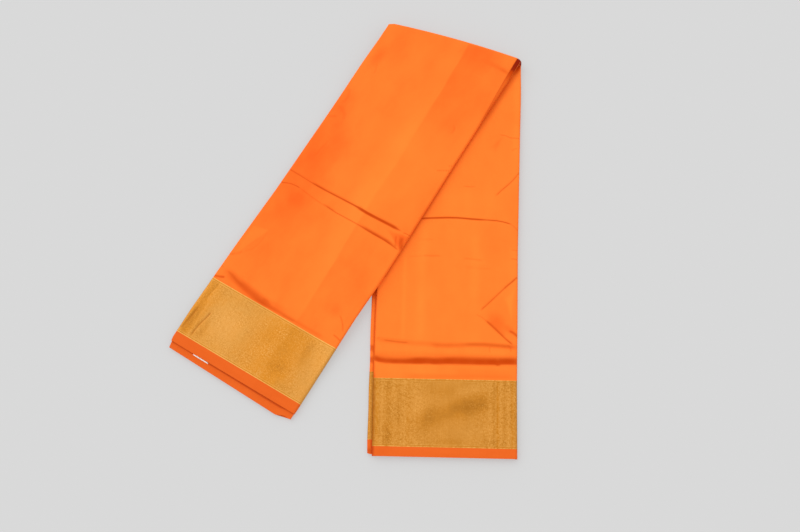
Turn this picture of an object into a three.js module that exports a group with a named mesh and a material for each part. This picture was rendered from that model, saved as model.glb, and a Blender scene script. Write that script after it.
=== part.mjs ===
// A plain soft-silk saree with wide gold borders, pressed into a long flat strip and laid down
// with one slanting cross fold, so that its two legs fan out: the upper leg to the lower left,
// the lower leg straight towards the viewer. Millimetres, +Z up, z = 0 is the table.

import * as THREE from "three";

const DEG = Math.PI / 180;

// Driving sizes of the pressed strip
const STRIP_WIDTH = 195; // six metres of cloth folded in half five times
const STACK = 8; // thickness of one leg, thirty-two plies pressed together
const BUNDLE = STACK / 2; // each leg is two bundles, joined along the right edge
const BUNDLE_STEP = 6; // the inner bundle's left fold lies this far inside the outer one's
const WALL = 1.2; // the outermost ply, as a wall
const SEAM = 0.3; // gap between neighbouring pieces
const LINING_DEPTH = WALL + SEAM; // how far the hidden layers lie inside a clad face

// The slanting cross fold
const SLANT = 14.5 * DEG; // the fold leans this far from square across the strip
const FOLD_DROP = 17.25 * DEG; // the fold falls this far from left to right on the table
const FOLD_LEFT = new THREE.Vector2(50.07, 309.94); // left end of the fold's axis
const FOLD_HOLLOW = 3; // open height inside the fold
const FOLD_FLATTEN = 0.62; // the fold's outward reach over its half height
const FOLD_BOW = 1.8; // the fold's middle lies this far outside its ends
const BOW_RUN = 80; // and the bow fades into each leg over this distance
const HOLLOW_RUN = 30; // the hollow closes over this distance from the fold
const LAID_GAP = 0.6; // between the legs where they lie on each other
const TUCK_UNDER = 2; // how far the outer ply runs on under the lower leg
const INNER_START = 3; // where the lower leg's top ply begins, inside the fold
const CORE = STACK + FOLD_HOLLOW / 2; // height of the fold's axis

// How the upper leg comes down from the lower one to the table
const SHELF = 12; // it stays level this far past the lower leg's left edge
const DROP_RUN = 70; // and comes down over this distance

// Lines across the strip follow the fold near it and lean a little at the ends
const SKEW_RUN = 160;
const WEFT_LEAN = Math.tan(1.5 * DEG);

// Distances from the fold's axis along the left edge, where each stretch ends
const UPPER = { border: 449, selvedge: 536, end: 550.5, layers: 560.8 };
const LOWER = { border: 518.5, selvedge: 607.5, end: 621.3, layers: 617.8, outerLayers: 614.5 };

// Side roundings
const LEFT_ROUND = 2;
const RIGHT_ROUND = 3;
const RIGHT_ANGLES = [60, 20, -20, -60];
const LEFT_ANGLES = [180, 130, 90];
const SLIT_DEPTH = 9; // the slit between the two bundles on the left side
const SLIT_LIP = BUNDLE - 0.15; // depth of each bundle at the slit

// Steps of the layers past the upper leg's end
const END_STEP = 3.2; // depth of the first step below the top
const END_RELEAF = 2; // the lowest plies stop this high above the underside
const END_RELEAF_RUN = 1.5;
const OUTER_CUT = BUNDLE - 0.8; // past its own end the outer bundle leaves only its last plies
const NOTCH = { from: 173, run: 12, depth: 5 }; // the right corner's plies stop short
const END_LEAN = 0.1; // past the upper end the plies lie squarer, by this share of the lean

// Columns across the strip where the surface bends lengthwise
const COLUMNS = [9.2, 20, 37, 62, 90, 118, 124, 145, 168, 182, 191.7];
const STATION_STEP = 22;
const BEND_STEPS = 8;

// The white tacking stitch at the upper leg's end
const TACK = { from: 35.5, to: 59.5, width: 2.4, height: 0.8 };

// How far each edge wanders from straight, by distance from the fold
const EDGE_WANDER = {
  upper: [
    { v: -60, left: -1, right: 0 },
    { v: 140, left: -1, right: 0 },
    { v: 300, left: -0.5, right: 2 },
    { v: 345, left: -1.5, right: 2 },
    { v: 400, left: -2.5, right: 0 },
    { v: 500, left: -3, right: -0.6 },
    { v: 545, left: -1.5, right: -0.6 },
    { v: 560, left: 1.5, right: -1.2 },
  ],
  lower: [
    { v: 0, left: 0, right: 2.5 },
    { v: 200, left: 0, right: 1.4 },
    { v: 340, left: -2, right: 0.8 },
    { v: 440, left: -1.5, right: 1.8 },
    { v: 520, left: 0.5, right: 2.2 },
    { v: 620, left: 4, right: 4 },
  ],
};

// Creases and tucks across each leg: a line from (u0, v0) to (u1, v1), its height below or
// above the cloth, and its half width
const CREASES = {
  upper: [
    { name: "fold mark", u0: -5, v0: 262, u1: 200, v1: 262, lift: -1.1, half: 6 },
    { name: "second mark", u0: 60, v0: 281, u1: 200, v1: 289, lift: -0.8, half: 6 },
    { name: "puff above the border", u0: 5, v0: 430, u1: 90, v1: 438, lift: -0.8, half: 9 },
  ],
  lower: [
    { name: "fold mark", u0: 55, v0: 293, u1: 200, v1: 297, lift: -1.1, half: 6 },
    { name: "soft mark", u0: 0, v0: 467, u1: 200, v1: 472, lift: -0.5, half: 8 },
    { name: "tuck", u0: -5, v0: 488, u1: 200, v1: 488, lift: 1.1, half: 7 },
    { name: "tuck lip", u0: -5, v0: 497, u1: 200, v1: 497, lift: -1.2, half: 6 },
  ],
};

// Lengthwise ridges left by the earlier folding
const RIDGES = [
  { u: 121, lift: 0.25, half: 30 },
  { u: 48, lift: -0.25, half: 30 },
];

const CLOTH = {
  field: { color: 0xfe8532, roughness: 0.5, metalness: 0 },
  border: { color: 0xd99a46, roughness: 0.42, metalness: 0.55 },
  selvedge: { color: 0xee6824, roughness: 0.55, metalness: 0 },
  layers: { color: 0xf07428, roughness: 0.6, metalness: 0 },
  tack: { color: 0xfff1e4, roughness: 0.7, metalness: 0 },
};

const foldAlong = new THREE.Vector2(Math.cos(FOLD_DROP), -Math.sin(FOLD_DROP));
const foldOut = new THREE.Vector2(Math.sin(FOLD_DROP), Math.cos(FOLD_DROP));

// A smooth step from 0 to 1
function smooth(x) {
  return THREE.MathUtils.smoothstep(x, 0, 1);
}

// The value of a table's column at v, between its rows
function readTable(rows, column, v) {
  const above = rows.findIndex((row) => row.v >= v);
  if (above === 0) return rows[0][column];
  if (above < 0) return rows[rows.length - 1][column];
  const low = rows[above - 1];
  const high = rows[above];
  return THREE.MathUtils.mapLinear(v, low.v, high.v, low[column], high[column]);
}

// The plan position of a point along the fold's axis and out from it
function planPoint(along, out) {
  return FOLD_LEFT.clone()
    .addScaledVector(foldAlong, along)
    .addScaledVector(foldOut, out);
}

// The direction square to the lower leg, towards its right edge
const lowerAcross = foldAlong
  .clone()
  .multiplyScalar(Math.cos(SLANT))
  .addScaledVector(foldOut, Math.sin(SLANT));

// Height of what the upper leg lies on, at a plan position
function support(point, away) {
  const inside = point.clone().sub(FOLD_LEFT).dot(lowerAcross);
  const hollow = (FOLD_HOLLOW - LAID_GAP) * (1 - smooth(away / HOLLOW_RUN));
  return (STACK + LAID_GAP + hollow) * smooth(1 + (inside + SHELF) / DROP_RUN);
}

// Height of creases and ridges at a point of a leg
function relief(leg, u, v) {
  let height = 0;
  for (const crease of CREASES[leg]) {
    const run = crease.u1 - crease.u0;
    const line = crease.v0 + ((crease.v1 - crease.v0) * (u - crease.u0)) / run;
    const ends = Math.min(u - crease.u0, crease.u1 - u) / 20;
    const side = 1 - Math.abs(v - line) / crease.half;
    height += crease.lift * smooth(side) * smooth(ends);
  }
  for (const ridge of RIDGES) {
    height += ridge.lift * smooth(1 - Math.abs(u - ridge.u) / ridge.half);
  }
  return height;
}

// Distance from the fold at u on the line across the strip that starts at v on the left edge
function lineAcross({ leg, v, pastEnd }, u) {
  const skew = Math.max(0, 1 - v / SKEW_RUN);
  const turn = leg === "upper" ? -Math.tan(SLANT) : Math.tan(SLANT);
  const lean = WEFT_LEAN * (pastEnd ? END_LEAN : 1);
  const notch = pastEnd ? NOTCH.depth * smooth((u - NOTCH.from) / NOTCH.run) : 0;
  return v + u * (skew * turn - (1 - skew) * lean) - notch;
}

// How far the fold's axis bows outwards at u
function foldBow(u) {
  const share = u / STRIP_WIDTH;
  return FOLD_BOW * 4 * share * (1 - share);
}

// A point of the strip in space: u across it, h through it from the outermost ply.
// A station is a distance v on one leg, or an angle round the fold.
function place(station, u, h) {
  if (station.leg === "bend") {
    const radius = CORE - h;
    const out = FOLD_FLATTEN * radius * Math.sin(station.angle);
    const plan = planPoint(u / Math.cos(SLANT), out + foldBow(u));
    return new THREE.Vector3(plan.x, plan.y, CORE - radius * Math.cos(station.angle));
  }
  const { leg, v } = station;
  const side = u / STRIP_WIDTH;
  const wander = EDGE_WANDER[leg];
  const shift = THREE.MathUtils.lerp(
    readTable(wander, "left", v),
    readTable(wander, "right", v),
    side,
  ) * smooth(v / SKEW_RUN);
  const across = u + shift;
  const down = lineAcross(station, u);
  const turn = leg === "upper" ? -1 : 1;
  const along = across * Math.cos(SLANT) + turn * down * Math.sin(SLANT);
  const away = down * Math.cos(SLANT) - turn * across * Math.sin(SLANT);
  const plan = planPoint(along, foldBow(u) * (1 - smooth(v / BOW_RUN)) - away);
  const depth = leg === "upper" ? h : STACK - h;
  const topShare = smooth((BUNDLE - depth) / (BUNDLE - LINING_DEPTH));
  const lift = relief(leg, u, v) * topShare * smooth(v / HOLLOW_RUN);
  const base = leg === "upper" ? STACK - h + support(plan, away) : h;
  return new THREE.Vector3(plan.x, plan.y, base + lift);
}

// The top ply's section, from its left fold over the top to the right edge's underside:
// u across and depth below the top, inset from the outside
function plySection(left, inset) {
  const section = LEFT_ANGLES.map((angle) => ({
    u: left + LEFT_ROUND + (LEFT_ROUND - inset) * Math.cos(angle * DEG),
    depth: BUNDLE / 2 - (BUNDLE / 2 - inset) * Math.sin(angle * DEG),
  }));
  for (const u of COLUMNS) section.push({ u, depth: inset });
  const hub = STRIP_WIDTH - RIGHT_ROUND;
  for (const angle of RIGHT_ANGLES) {
    section.push({
      u: hub + (RIGHT_ROUND - inset) * Math.cos(angle * DEG),
      depth: STACK / 2 - (STACK / 2 - inset) * Math.sin(angle * DEG),
    });
  }
  return section;
}

// A closed ring round the top ply's wall; face says which side of the strip is up
function plyRing(station, face) {
  const left = face === "outer" ? 0 : BUNDLE_STEP;
  const toRing = (p) => ({ u: p.u, h: face === "outer" ? p.depth : STACK - p.depth });
  const outside = plySection(left, 0).map(toRing);
  const inside = plySection(left, WALL).map(toRing).reverse();
  const points = [...outside, ...inside];
  return { station, points: face === "outer" ? points : points.reverse() };
}

// The left side of one bundle of hidden layers, from its face, cut down to a depth, to the slit
function bundleSide(left, face, inward, cut) {
  const clad = cut > 0;
  const rows = clad
    ? [
        { u: LEFT_ROUND, depth: LINING_DEPTH },
        { u: LINING_DEPTH, depth: 2 },
        { u: LINING_DEPTH, depth: 2.35 },
        { u: 0.3, depth: 2.6 },
        { u: 0.8, depth: 3.6 },
      ]
    : [
        { u: LEFT_ROUND, depth: 0 },
        { u: 0.4, depth: 0.7 },
        { u: 0, depth: 1.8 },
        { u: 0.3, depth: 2.9 },
        { u: 0.9, depth: 3.6 },
      ];
  rows.push({ u: SLIT_DEPTH, depth: SLIT_LIP });
  return rows.map(({ u, depth }) => {
    const below = THREE.MathUtils.mapLinear(depth, rows[0].depth, SLIT_LIP, cut, SLIT_LIP);
    return { u: left + u, h: face + inward * below };
  });
}

// A closed ring round the hidden layers; outer and inner give the depth of each face
function layersRing(station, outerDepth, innerDepth) {
  const hub = STRIP_WIDTH - RIGHT_ROUND;
  const rightSide = RIGHT_ANGLES.map((angle) => {
    const h = STACK / 2 - (STACK / 2 - LINING_DEPTH) * Math.sin(angle * DEG);
    return {
      u: hub + (RIGHT_ROUND - LINING_DEPTH) * Math.cos(angle * DEG),
      h: THREE.MathUtils.clamp(h, outerDepth, STACK - innerDepth),
    };
  });
  const points = [
    ...COLUMNS.map((u) => ({ u, h: outerDepth })),
    ...rightSide,
    ...COLUMNS.map((u) => ({ u, h: STACK - innerDepth })).reverse(),
    ...bundleSide(BUNDLE_STEP, STACK, -1, innerDepth),
    ...bundleSide(0, 0, 1, outerDepth).reverse(),
  ];
  return { station, points };
}

// A closed body through a row of rings, capped at both ends. Each face is split along its
// shorter diagonal, so that neighbouring plies are faceted alike.
function bodyThrough(rings) {
  const count = rings[0].points.length;
  const points = rings.flatMap((ring) =>
    ring.points.map(({ u, h }) => place(ring.station, u, h)),
  );
  const positions = points.flatMap((point) => point.toArray());
  const index = [];
  for (let row = 0; row + 1 < rings.length; row += 1) {
    for (let i = 0; i < count; i += 1) {
      const next = (i + 1) % count;
      const a = row * count + i;
      const b = row * count + next;
      const [c, d] = [a + count, b + count];
      const splitFromA = points[a].distanceTo(points[d]) < points[b].distanceTo(points[c]);
      index.push(...(splitFromA ? [a, b, d, a, d, c] : [a, b, c, b, d, c]));
    }
  }
  const last = (rings.length - 1) * count;
  for (const [ring, start, flip] of [[rings[0], 0, true], [rings.at(-1), last, false]]) {
    const outline = ring.points.map(({ u, h }) => new THREE.Vector2(u, h));
    const turned = THREE.ShapeUtils.isClockWise(outline) ? !flip : flip;
    for (const [a, b, c] of THREE.ShapeUtils.triangulateShape(outline, [])) {
      index.push(start + a, start + (turned ? c : b), start + (turned ? b : c));
    }
  }
  const geometry = new THREE.BufferGeometry();
  geometry.setAttribute("position", new THREE.Float32BufferAttribute(positions, 3));
  geometry.setIndex(index);
  return geometry;
}

// Distances along a leg between two ends: even steps, with extra ones at the creases
function stationsBetween(leg, from, to) {
  const marks = CREASES[leg]
    .flatMap(({ v0, half }) => [v0 - half, v0, v0 + half])
    .filter((v) => v > from + 2 && v < to - 2);
  const steps = Math.max(1, Math.round((to - from) / STATION_STEP));
  for (let i = 0; i <= steps; i += 1) marks.push(from + ((to - from) * i) / steps);
  marks.sort((a, b) => a - b);
  return marks
    .filter((v, i) => i === 0 || v - marks[i - 1] > 3 || v === to)
    .map((v) => ({ leg, v }));
}

// Stations round the fold, from the lower leg's side to the upper one's
function bendStations() {
  const stations = [];
  for (let i = 0; i <= BEND_STEPS; i += 1) {
    stations.push({ leg: "bend", angle: (Math.PI * i) / BEND_STEPS });
  }
  return stations;
}

// The stations that the top ply and the layers under it share, from the upper end to the lower
const UPPER_STATIONS = {
  selvedge: stationsBetween("upper", UPPER.selvedge + SEAM, UPPER.end).reverse(),
  border: stationsBetween("upper", UPPER.border + SEAM, UPPER.selvedge).reverse(),
  field: stationsBetween("upper", HOLLOW_RUN, UPPER.border).reverse(),
};
const FOLD_STATIONS = [
  { leg: "upper", v: HOLLOW_RUN / 2 },
  { leg: "upper", v: HOLLOW_RUN / 6 },
  ...bendStations().reverse(),
];
const LOWER_STATIONS = {
  field: [
    { leg: "lower", v: INNER_START },
    { leg: "lower", v: HOLLOW_RUN / 2 },
    ...stationsBetween("lower", HOLLOW_RUN, LOWER.border),
  ],
  border: stationsBetween("lower", LOWER.border + SEAM, LOWER.selvedge),
  selvedge: stationsBetween("lower", LOWER.selvedge + SEAM, LOWER.end),
};

function mesh(name, geometry, finish) {
  const made = new THREE.Mesh(geometry, new THREE.MeshStandardMaterial(finish));
  made.name = name;
  return made;
}

// The upper leg's top ply above the border, round the fold and just under the lower leg
function upperField() {
  const under = { leg: "lower", v: TUCK_UNDER };
  const stations = [...UPPER_STATIONS.field, ...FOLD_STATIONS, under];
  return bodyThrough(stations.map((s) => plyRing(s, "outer")));
}

// One stretch of the top ply on either leg
function stretch(stations) {
  const face = stations[0].leg === "upper" ? "outer" : "inner";
  return bodyThrough(stations.map((s) => plyRing(s, face)));
}

// All the plies between the top ones, stepped where they end
function hiddenLayers() {
  const shortPlies = UPPER.layers - END_RELEAF_RUN;
  const pastEnd = (v, underside) =>
    layersRing({ leg: "upper", v, pastEnd: true }, END_STEP, underside);
  const cladUpper = Object.values(UPPER_STATIONS).flat().filter(({ v }) => v < UPPER.end);
  const cladLower = Object.values(LOWER_STATIONS).flat().filter(({ v }) => v < LOWER.outerLayers);
  return bodyThrough([
    pastEnd(UPPER.layers, END_RELEAF),
    pastEnd(shortPlies + SEAM, END_RELEAF),
    pastEnd(shortPlies, 0),
    layersRing({ leg: "upper", v: UPPER.end }, END_STEP, 0),
    layersRing({ leg: "upper", v: UPPER.end - SEAM }, LINING_DEPTH, 0),
    ...[...cladUpper, ...FOLD_STATIONS].map((s) => layersRing(s, LINING_DEPTH, 0)),
    layersRing({ leg: "lower", v: INNER_START - SEAM }, LINING_DEPTH, 0),
    layersRing({ leg: "lower", v: INNER_START }, LINING_DEPTH, LINING_DEPTH),
    ...cladLower.slice(1).map((s) => layersRing(s, 0, LINING_DEPTH)),
    layersRing({ leg: "lower", v: LOWER.outerLayers }, 0, LINING_DEPTH),
    layersRing({ leg: "lower", v: LOWER.outerLayers + SEAM }, OUTER_CUT, LINING_DEPTH),
    layersRing({ leg: "lower", v: LOWER.layers }, OUTER_CUT, LINING_DEPTH),
  ]);
}

// A short white stitch that tacks the plies together, on the first step past the upper end
function tackStitch() {
  const rings = [UPPER.end + SEAM + TACK.width, UPPER.end + SEAM].map((v) => ({
    station: { leg: "upper", v },
    points: [
      { u: TACK.from, h: END_STEP - SEAM - TACK.height },
      { u: TACK.to, h: END_STEP - SEAM - TACK.height },
      { u: TACK.to, h: END_STEP - SEAM },
      { u: TACK.from, h: END_STEP - SEAM },
    ],
  }));
  return bodyThrough(rings);
}

const group = new THREE.Group();
group.add(
  mesh("upper_field", upperField(), CLOTH.field),
  mesh("upper_border", stretch(UPPER_STATIONS.border), CLOTH.border),
  mesh("upper_selvedge", stretch(UPPER_STATIONS.selvedge), CLOTH.selvedge),
  mesh("lower_field", stretch(LOWER_STATIONS.field), CLOTH.field),
  mesh("lower_border", stretch(LOWER_STATIONS.border), CLOTH.border),
  mesh("lower_selvedge", stretch(LOWER_STATIONS.selvedge), CLOTH.selvedge),
  mesh("hidden_layers", hiddenLayers(), CLOTH.layers),
  mesh("tack_stitch", tackStitch(), CLOTH.tack),
);

export default group;
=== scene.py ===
"""A plain soft-silk saree with wide gold borders, pressed into a long strip and folded once.

Sizes are in millimetres in the tables below and become metres when a mesh is placed.
The strip has its own coordinates: u across it from the left edge, v along a leg from the
fold, and a depth below that leg's top.
"""

import logging
import math
from dataclasses import dataclass
from enum import Enum

import bmesh
import bpy
import numpy as np
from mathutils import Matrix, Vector
from mathutils.geometry import tessellate_polygon


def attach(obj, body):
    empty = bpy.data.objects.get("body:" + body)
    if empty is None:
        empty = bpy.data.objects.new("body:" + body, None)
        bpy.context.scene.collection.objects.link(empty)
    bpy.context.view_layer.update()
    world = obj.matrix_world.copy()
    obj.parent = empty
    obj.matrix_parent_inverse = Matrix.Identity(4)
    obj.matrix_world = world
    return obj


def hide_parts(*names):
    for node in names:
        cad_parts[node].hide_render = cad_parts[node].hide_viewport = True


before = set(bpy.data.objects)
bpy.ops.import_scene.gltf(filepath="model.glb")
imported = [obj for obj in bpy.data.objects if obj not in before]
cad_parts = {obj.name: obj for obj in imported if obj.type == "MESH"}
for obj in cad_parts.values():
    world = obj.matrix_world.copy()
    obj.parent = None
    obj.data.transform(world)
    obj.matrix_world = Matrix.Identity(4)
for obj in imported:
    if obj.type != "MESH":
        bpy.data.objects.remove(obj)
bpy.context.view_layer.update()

LOG = logging.getLogger("folded_saree")
MM = 0.001
ROOT = "root"


class Leg(Enum):
    """The two legs of the strip on either side of the slanting fold."""

    UPPER = "upper"
    LOWER = "lower"


class Region(Enum):
    """The stretches of the woven cloth."""

    FIELD = "field"
    BORDER = "border"
    SELVEDGE = "selvedge"


def smooth(x: np.ndarray) -> np.ndarray:
    """A smooth step from 0 to 1."""
    x = np.clip(x, 0.0, 1.0)
    return x * x * (3.0 - 2.0 * x)


# ---- the strip's form


@dataclass(frozen=True)
class StretchEnds:
    """Distances from the fold, along the left edge, where each stretch of a leg ends."""

    border: float
    selvedge: float
    end: float
    layers: float
    woven_border: float = 88.0

    def woven(self, v: np.ndarray) -> np.ndarray:
        """Distance past the border's start, with the border's own depth brought to its woven one.

        Args:
            v: distances from the fold.

        Returns:
            Negative on the field, 0 to woven_border on the border, more on the selvedge.
        """
        past = v - self.border
        stretch = self.woven_border / (self.selvedge - self.border)
        inside = np.clip(past, 0.0, self.selvedge - self.border)
        beyond = np.maximum(past - (self.selvedge - self.border), 0.0)
        return np.minimum(past, 0.0) + inside * stretch + beyond


@dataclass(frozen=True)
class StripForm:
    """The pressed strip and its slanting fold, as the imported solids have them."""

    width: float = 195.0
    stack: float = 8.0
    bundle: float = 4.0
    bundle_step: float = 6.0
    slant: float = math.radians(14.5)
    fold_drop: float = math.radians(17.25)
    fold_left: tuple[float, float] = (50.07, 309.94)
    hollow: float = 3.0
    hollow_run: float = 30.0
    flatten: float = 0.62
    bow: float = 3.6
    bow_back: float = 1.7
    flare: float = 2.0
    corner: float = 2.0
    corner_run: float = 9.0
    pull: float = 5.6
    pull_run: float = 110.0
    pull_width: float = 36.0
    bow_run: float = 80.0
    laid_gap: float = 0.6
    shelf: float = 12.0
    drop_run: float = 70.0
    skew_run: float = 160.0
    weft_lean: float = math.tan(math.radians(1.5))
    end_lean: float = 0.1
    notch_from: float = 173.0
    notch_run: float = 12.0
    notch_depth: float = 5.0
    left_round: float = 2.0
    right_round: float = 3.0
    relief_floor: float = 1.5
    upper: StretchEnds = StretchEnds(449.0, 536.0, 550.5, 560.8)
    lower: StretchEnds = StretchEnds(518.5, 607.5, 620.2, 617.8)
    upper_wander: tuple = (
        (-60.0, -1.0, 0.0),
        (140.0, -1.0, 0.0),
        (300.0, -0.5, 2.0),
        (345.0, -1.5, 2.0),
        (400.0, -2.5, 0.0),
        (500.0, -3.0, -0.6),
        (545.0, -1.5, -0.6),
        (560.0, 1.5, -1.2),
    )
    lower_wander: tuple = (
        (0.0, 0.0, 2.5),
        (200.0, 0.0, 1.4),
        (340.0, -2.0, 0.8),
        (440.0, -1.5, 1.8),
        (520.0, 0.5, 2.2),
        (620.0, 4.0, 4.0),
    )

    @property
    def core(self) -> float:
        """Height of the fold's axis."""
        return self.stack + self.hollow / 2.0

    def ends(self, leg: Leg) -> StretchEnds:
        """The stretch ends of one leg."""
        return self.upper if leg is Leg.UPPER else self.lower

    def _plan(self, along: np.ndarray, out: np.ndarray) -> tuple[np.ndarray, np.ndarray]:
        """The plan position of points along the fold's axis and out from it."""
        c, s = math.cos(self.fold_drop), math.sin(self.fold_drop)
        return self.fold_left[0] + along * c + out * s, self.fold_left[1] - along * s + out * c

    def _support(self, x: np.ndarray, y: np.ndarray, away: np.ndarray) -> np.ndarray:
        """Height of what the upper leg lies on, at plan positions.

        Args:
            x, y: plan positions in millimetres.
            away: distances from the fold's axis.

        Returns:
            Heights in millimetres.
        """
        turn = self.slant - self.fold_drop
        inside = (x - self.fold_left[0]) * math.cos(turn) + (y - self.fold_left[1]) * math.sin(turn)
        hollow = (self.hollow - self.laid_gap) * (1.0 - smooth(away / self.hollow_run))
        risen = smooth(1.0 + (inside + self.shelf) / self.drop_run)
        return (self.stack + self.laid_gap + hollow) * risen

    def _fold_bow(self, u: np.ndarray) -> np.ndarray:
        """How far the fold's axis bows outwards, with its two corners rounded off.

        Args:
            u: distances across the strip.

        Returns:
            Distances in millimetres, below 0 where it lies further in.
        """
        share = u / self.width
        left = self.corner * (1.0 - smooth(u / self.corner_run))
        right = self.corner / 2.0 * (1.0 - smooth((self.width - u) / self.corner_run))
        return self.bow * 4.0 * share * (1.0 - share) - self.bow_back - left - right

    def _flared(self, u: np.ndarray, share: np.ndarray) -> np.ndarray:
        """Distances across on the lower side, which spreads a little at the fold's right end."""
        return u + self.flare * (u / self.width) ** 2 * share

    def pulled(self, u: np.ndarray, share: np.ndarray) -> np.ndarray:
        """Distances across where the right edge is drawn in near the fold, by a share."""
        return u - self.pull * share * smooth(1.0 - (self.width - u) / self.pull_width)

    def down(self, leg: Leg, u: np.ndarray, v: np.ndarray, square: np.ndarray | float = 0.0) -> np.ndarray:
        """Distances from the fold's left end measured straight along a leg.

        Args:
            leg: the leg.
            u: distances across the strip.
            v: distances from the fold along the left edge.
            square: 1 where the plies lie squarer than the weft.

        Returns:
            Distances in millimetres, below 0 where the fold slants back past its left end.
        """
        turn = -1.0 if leg is Leg.UPPER else 1.0
        skew = np.maximum(0.0, 1.0 - v / self.skew_run)
        lean = self.weft_lean * (1.0 - square * (1.0 - self.end_lean))
        return v + u * (skew * turn * math.tan(self.slant) - (1.0 - skew) * lean)

    def on_leg(
        self,
        leg: Leg,
        u: np.ndarray,
        v: np.ndarray,
        depth: np.ndarray,
        lift: np.ndarray,
        square: np.ndarray | float = 0.0,
    ) -> np.ndarray:
        """Points of a leg in space.

        Args:
            leg: the leg.
            u: distances across the strip.
            v: distances from the fold along the left edge.
            depth: depths below the leg's top.
            lift: heights of creases above the flat cloth.
            square: 1 past the upper leg's end, where the plies lie squarer and are notched.

        Returns:
            Positions in metres, one row per point.
        """
        turn = -1.0 if leg is Leg.UPPER else 1.0
        wander = np.array(self.upper_wander if leg is Leg.UPPER else self.lower_wander)
        left = np.interp(v, wander[:, 0], wander[:, 1])
        right = np.interp(v, wander[:, 0], wander[:, 2])
        settled = smooth(v / self.skew_run)
        across = u + (left + (right - left) * u / self.width) * settled
        if leg is Leg.LOWER:
            across = self._flared(across, 1.0 - settled)
        notch = square * self.notch_depth * smooth((u - self.notch_from) / self.notch_run)
        down = self.down(leg, u, v, square) - notch
        c, s = math.cos(self.slant), math.sin(self.slant)
        along = across * c + turn * down * s
        away = down * c - turn * across * s
        bow = self._fold_bow(u) * (1.0 - smooth(v / self.bow_run))
        x, y = self._plan(along, bow - away)
        top_share = smooth((self.bundle - depth) / (self.bundle - self.relief_floor))
        risen = lift * top_share * smooth(v / self.hollow_run)
        base = self.stack - depth
        if leg is Leg.UPPER:
            base = base + self._support(x, y, away)
        return np.stack([x, y, base + risen], axis=-1) * MM

    def round_fold(self, u: np.ndarray, angle: np.ndarray, depth: np.ndarray) -> np.ndarray:
        """Points round the fold in space, from the lower side at angle 0 to the top at pi.

        Args:
            u: distances across the strip.
            angle: angles round the fold.
            depth: depths below the top of the upper leg.

        Returns:
            Positions in metres, one row per point.
        """
        radius = self.core - depth
        out = self.flatten * radius * np.sin(angle) + self._fold_bow(u)
        across = self._flared(u, 1.0 - smooth(angle / math.pi))
        x, y = self._plan(across / math.cos(self.slant), out)
        return np.stack([x, y, self.core - radius * np.cos(angle)], axis=-1) * MM


# ---- creases with painted shade, and tones of painted light and shade, placed from how the cloth lies


@dataclass(frozen=True)
class Crease:
    """One soft trough or ridge along a line on a leg.

    near and far are the half widths towards and away from the fold, lift its height, painted_shade how
    much painted shade darkens its own line, line that line's half width, flank the half width of its
    painted shade on the side towards the fold where that is wider, fade how it dies at its ends, core
    how full its middle is, and uneven how much its presence comes and goes along it, in two beats.
    """

    leg: Leg
    path: tuple
    lift: float
    near: float
    far: float
    painted_shade: float = 0.0
    line: float = 1.1
    fade: float = 14.0
    flank: float = 0.0
    core: float = 1.0
    uneven: float = 0.08
    end_share: float = 0.15
    beats: tuple[float, float] = (4.7, 9.1)

    def measure(self, u: np.ndarray, v: np.ndarray) -> tuple[np.ndarray, np.ndarray]:
        """Signed distance from the line and how present it is there.

        Args:
            u: distances across the strip.
            v: distances from the fold.

        Returns:
            Distance, positive on the side away from the fold, and presence from 0 to 1.
        """
        best = np.full(u.shape, 1e9)
        signed = np.full(u.shape, 1e9)
        run = np.zeros(u.shape)
        lengths = [math.dist(a, b) for a, b in zip(self.path, self.path[1:])]
        total = sum(lengths)
        start = 0.0
        for (u0, v0), (u1, v1), length in zip(self.path, self.path[1:], lengths):
            du, dv = (u1 - u0) / length, (v1 - v0) / length
            t = np.clip((u - u0) * du + (v - v0) * dv, 0.0, length)
            gap = np.hypot(u - u0 - t * du, v - v0 - t * dv)
            side = np.sign((v - v0) * du - (u - u0) * dv)
            closer = gap < best
            best = np.where(closer, gap, best)
            signed = np.where(closer, gap * side, signed)
            run = np.where(closer, start + t, run)
            start += length
        presence = smooth(np.minimum(run, total - run) / self.fade + self.end_share)
        short, long = self.beats
        uneven = np.sin(run / short + self.path[0][0]) * np.sin(run / long + self.path[0][1])
        return signed, presence * (1.0 - self.uneven + self.uneven * uneven)

    def relief(self, u: np.ndarray, v: np.ndarray) -> tuple[np.ndarray, np.ndarray]:
        """Height and painted shade of the crease at points of its leg.

        Args:
            u: distances across the strip.
            v: distances from the fold.

        Returns:
            Heights in millimetres and painted shade from 0 to 1.
        """
        signed, presence = self.measure(u, v)
        half = np.where(signed < 0.0, self.near, self.far)
        height = self.lift * smooth(1.0 - np.abs(signed) / half) * presence
        reach = np.where(signed < 0.0, max(self.flank, self.line), self.line)
        dark = self.painted_shade * smooth(self.core * (1.0 - np.abs(signed) / reach)) * presence
        return height, dark


@dataclass(frozen=True)
class Tone:
    """A soft patch of painted light (amount above 0) or painted shade (below 0), an ellipse turned by an angle
    from the strip's width.
    """

    leg: Leg
    u: float
    v: float
    half_u: float
    half_v: float
    amount: float
    turn: float = 0.0

    def at(self, u: np.ndarray, v: np.ndarray) -> np.ndarray:
        """The patch's share at points of its leg.

        Args:
            u: distances across the strip.
            v: distances from the fold.

        Returns:
            Shares, below 0 where it is darker.
        """
        c, s = math.cos(math.radians(self.turn)), math.sin(math.radians(self.turn))
        a = ((u - self.u) * c + (v - self.v) * s) / self.half_u
        b = ((v - self.v) * c - (u - self.u) * s) / self.half_v
        return self.amount * smooth(1.0 - np.hypot(a, b))


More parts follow.
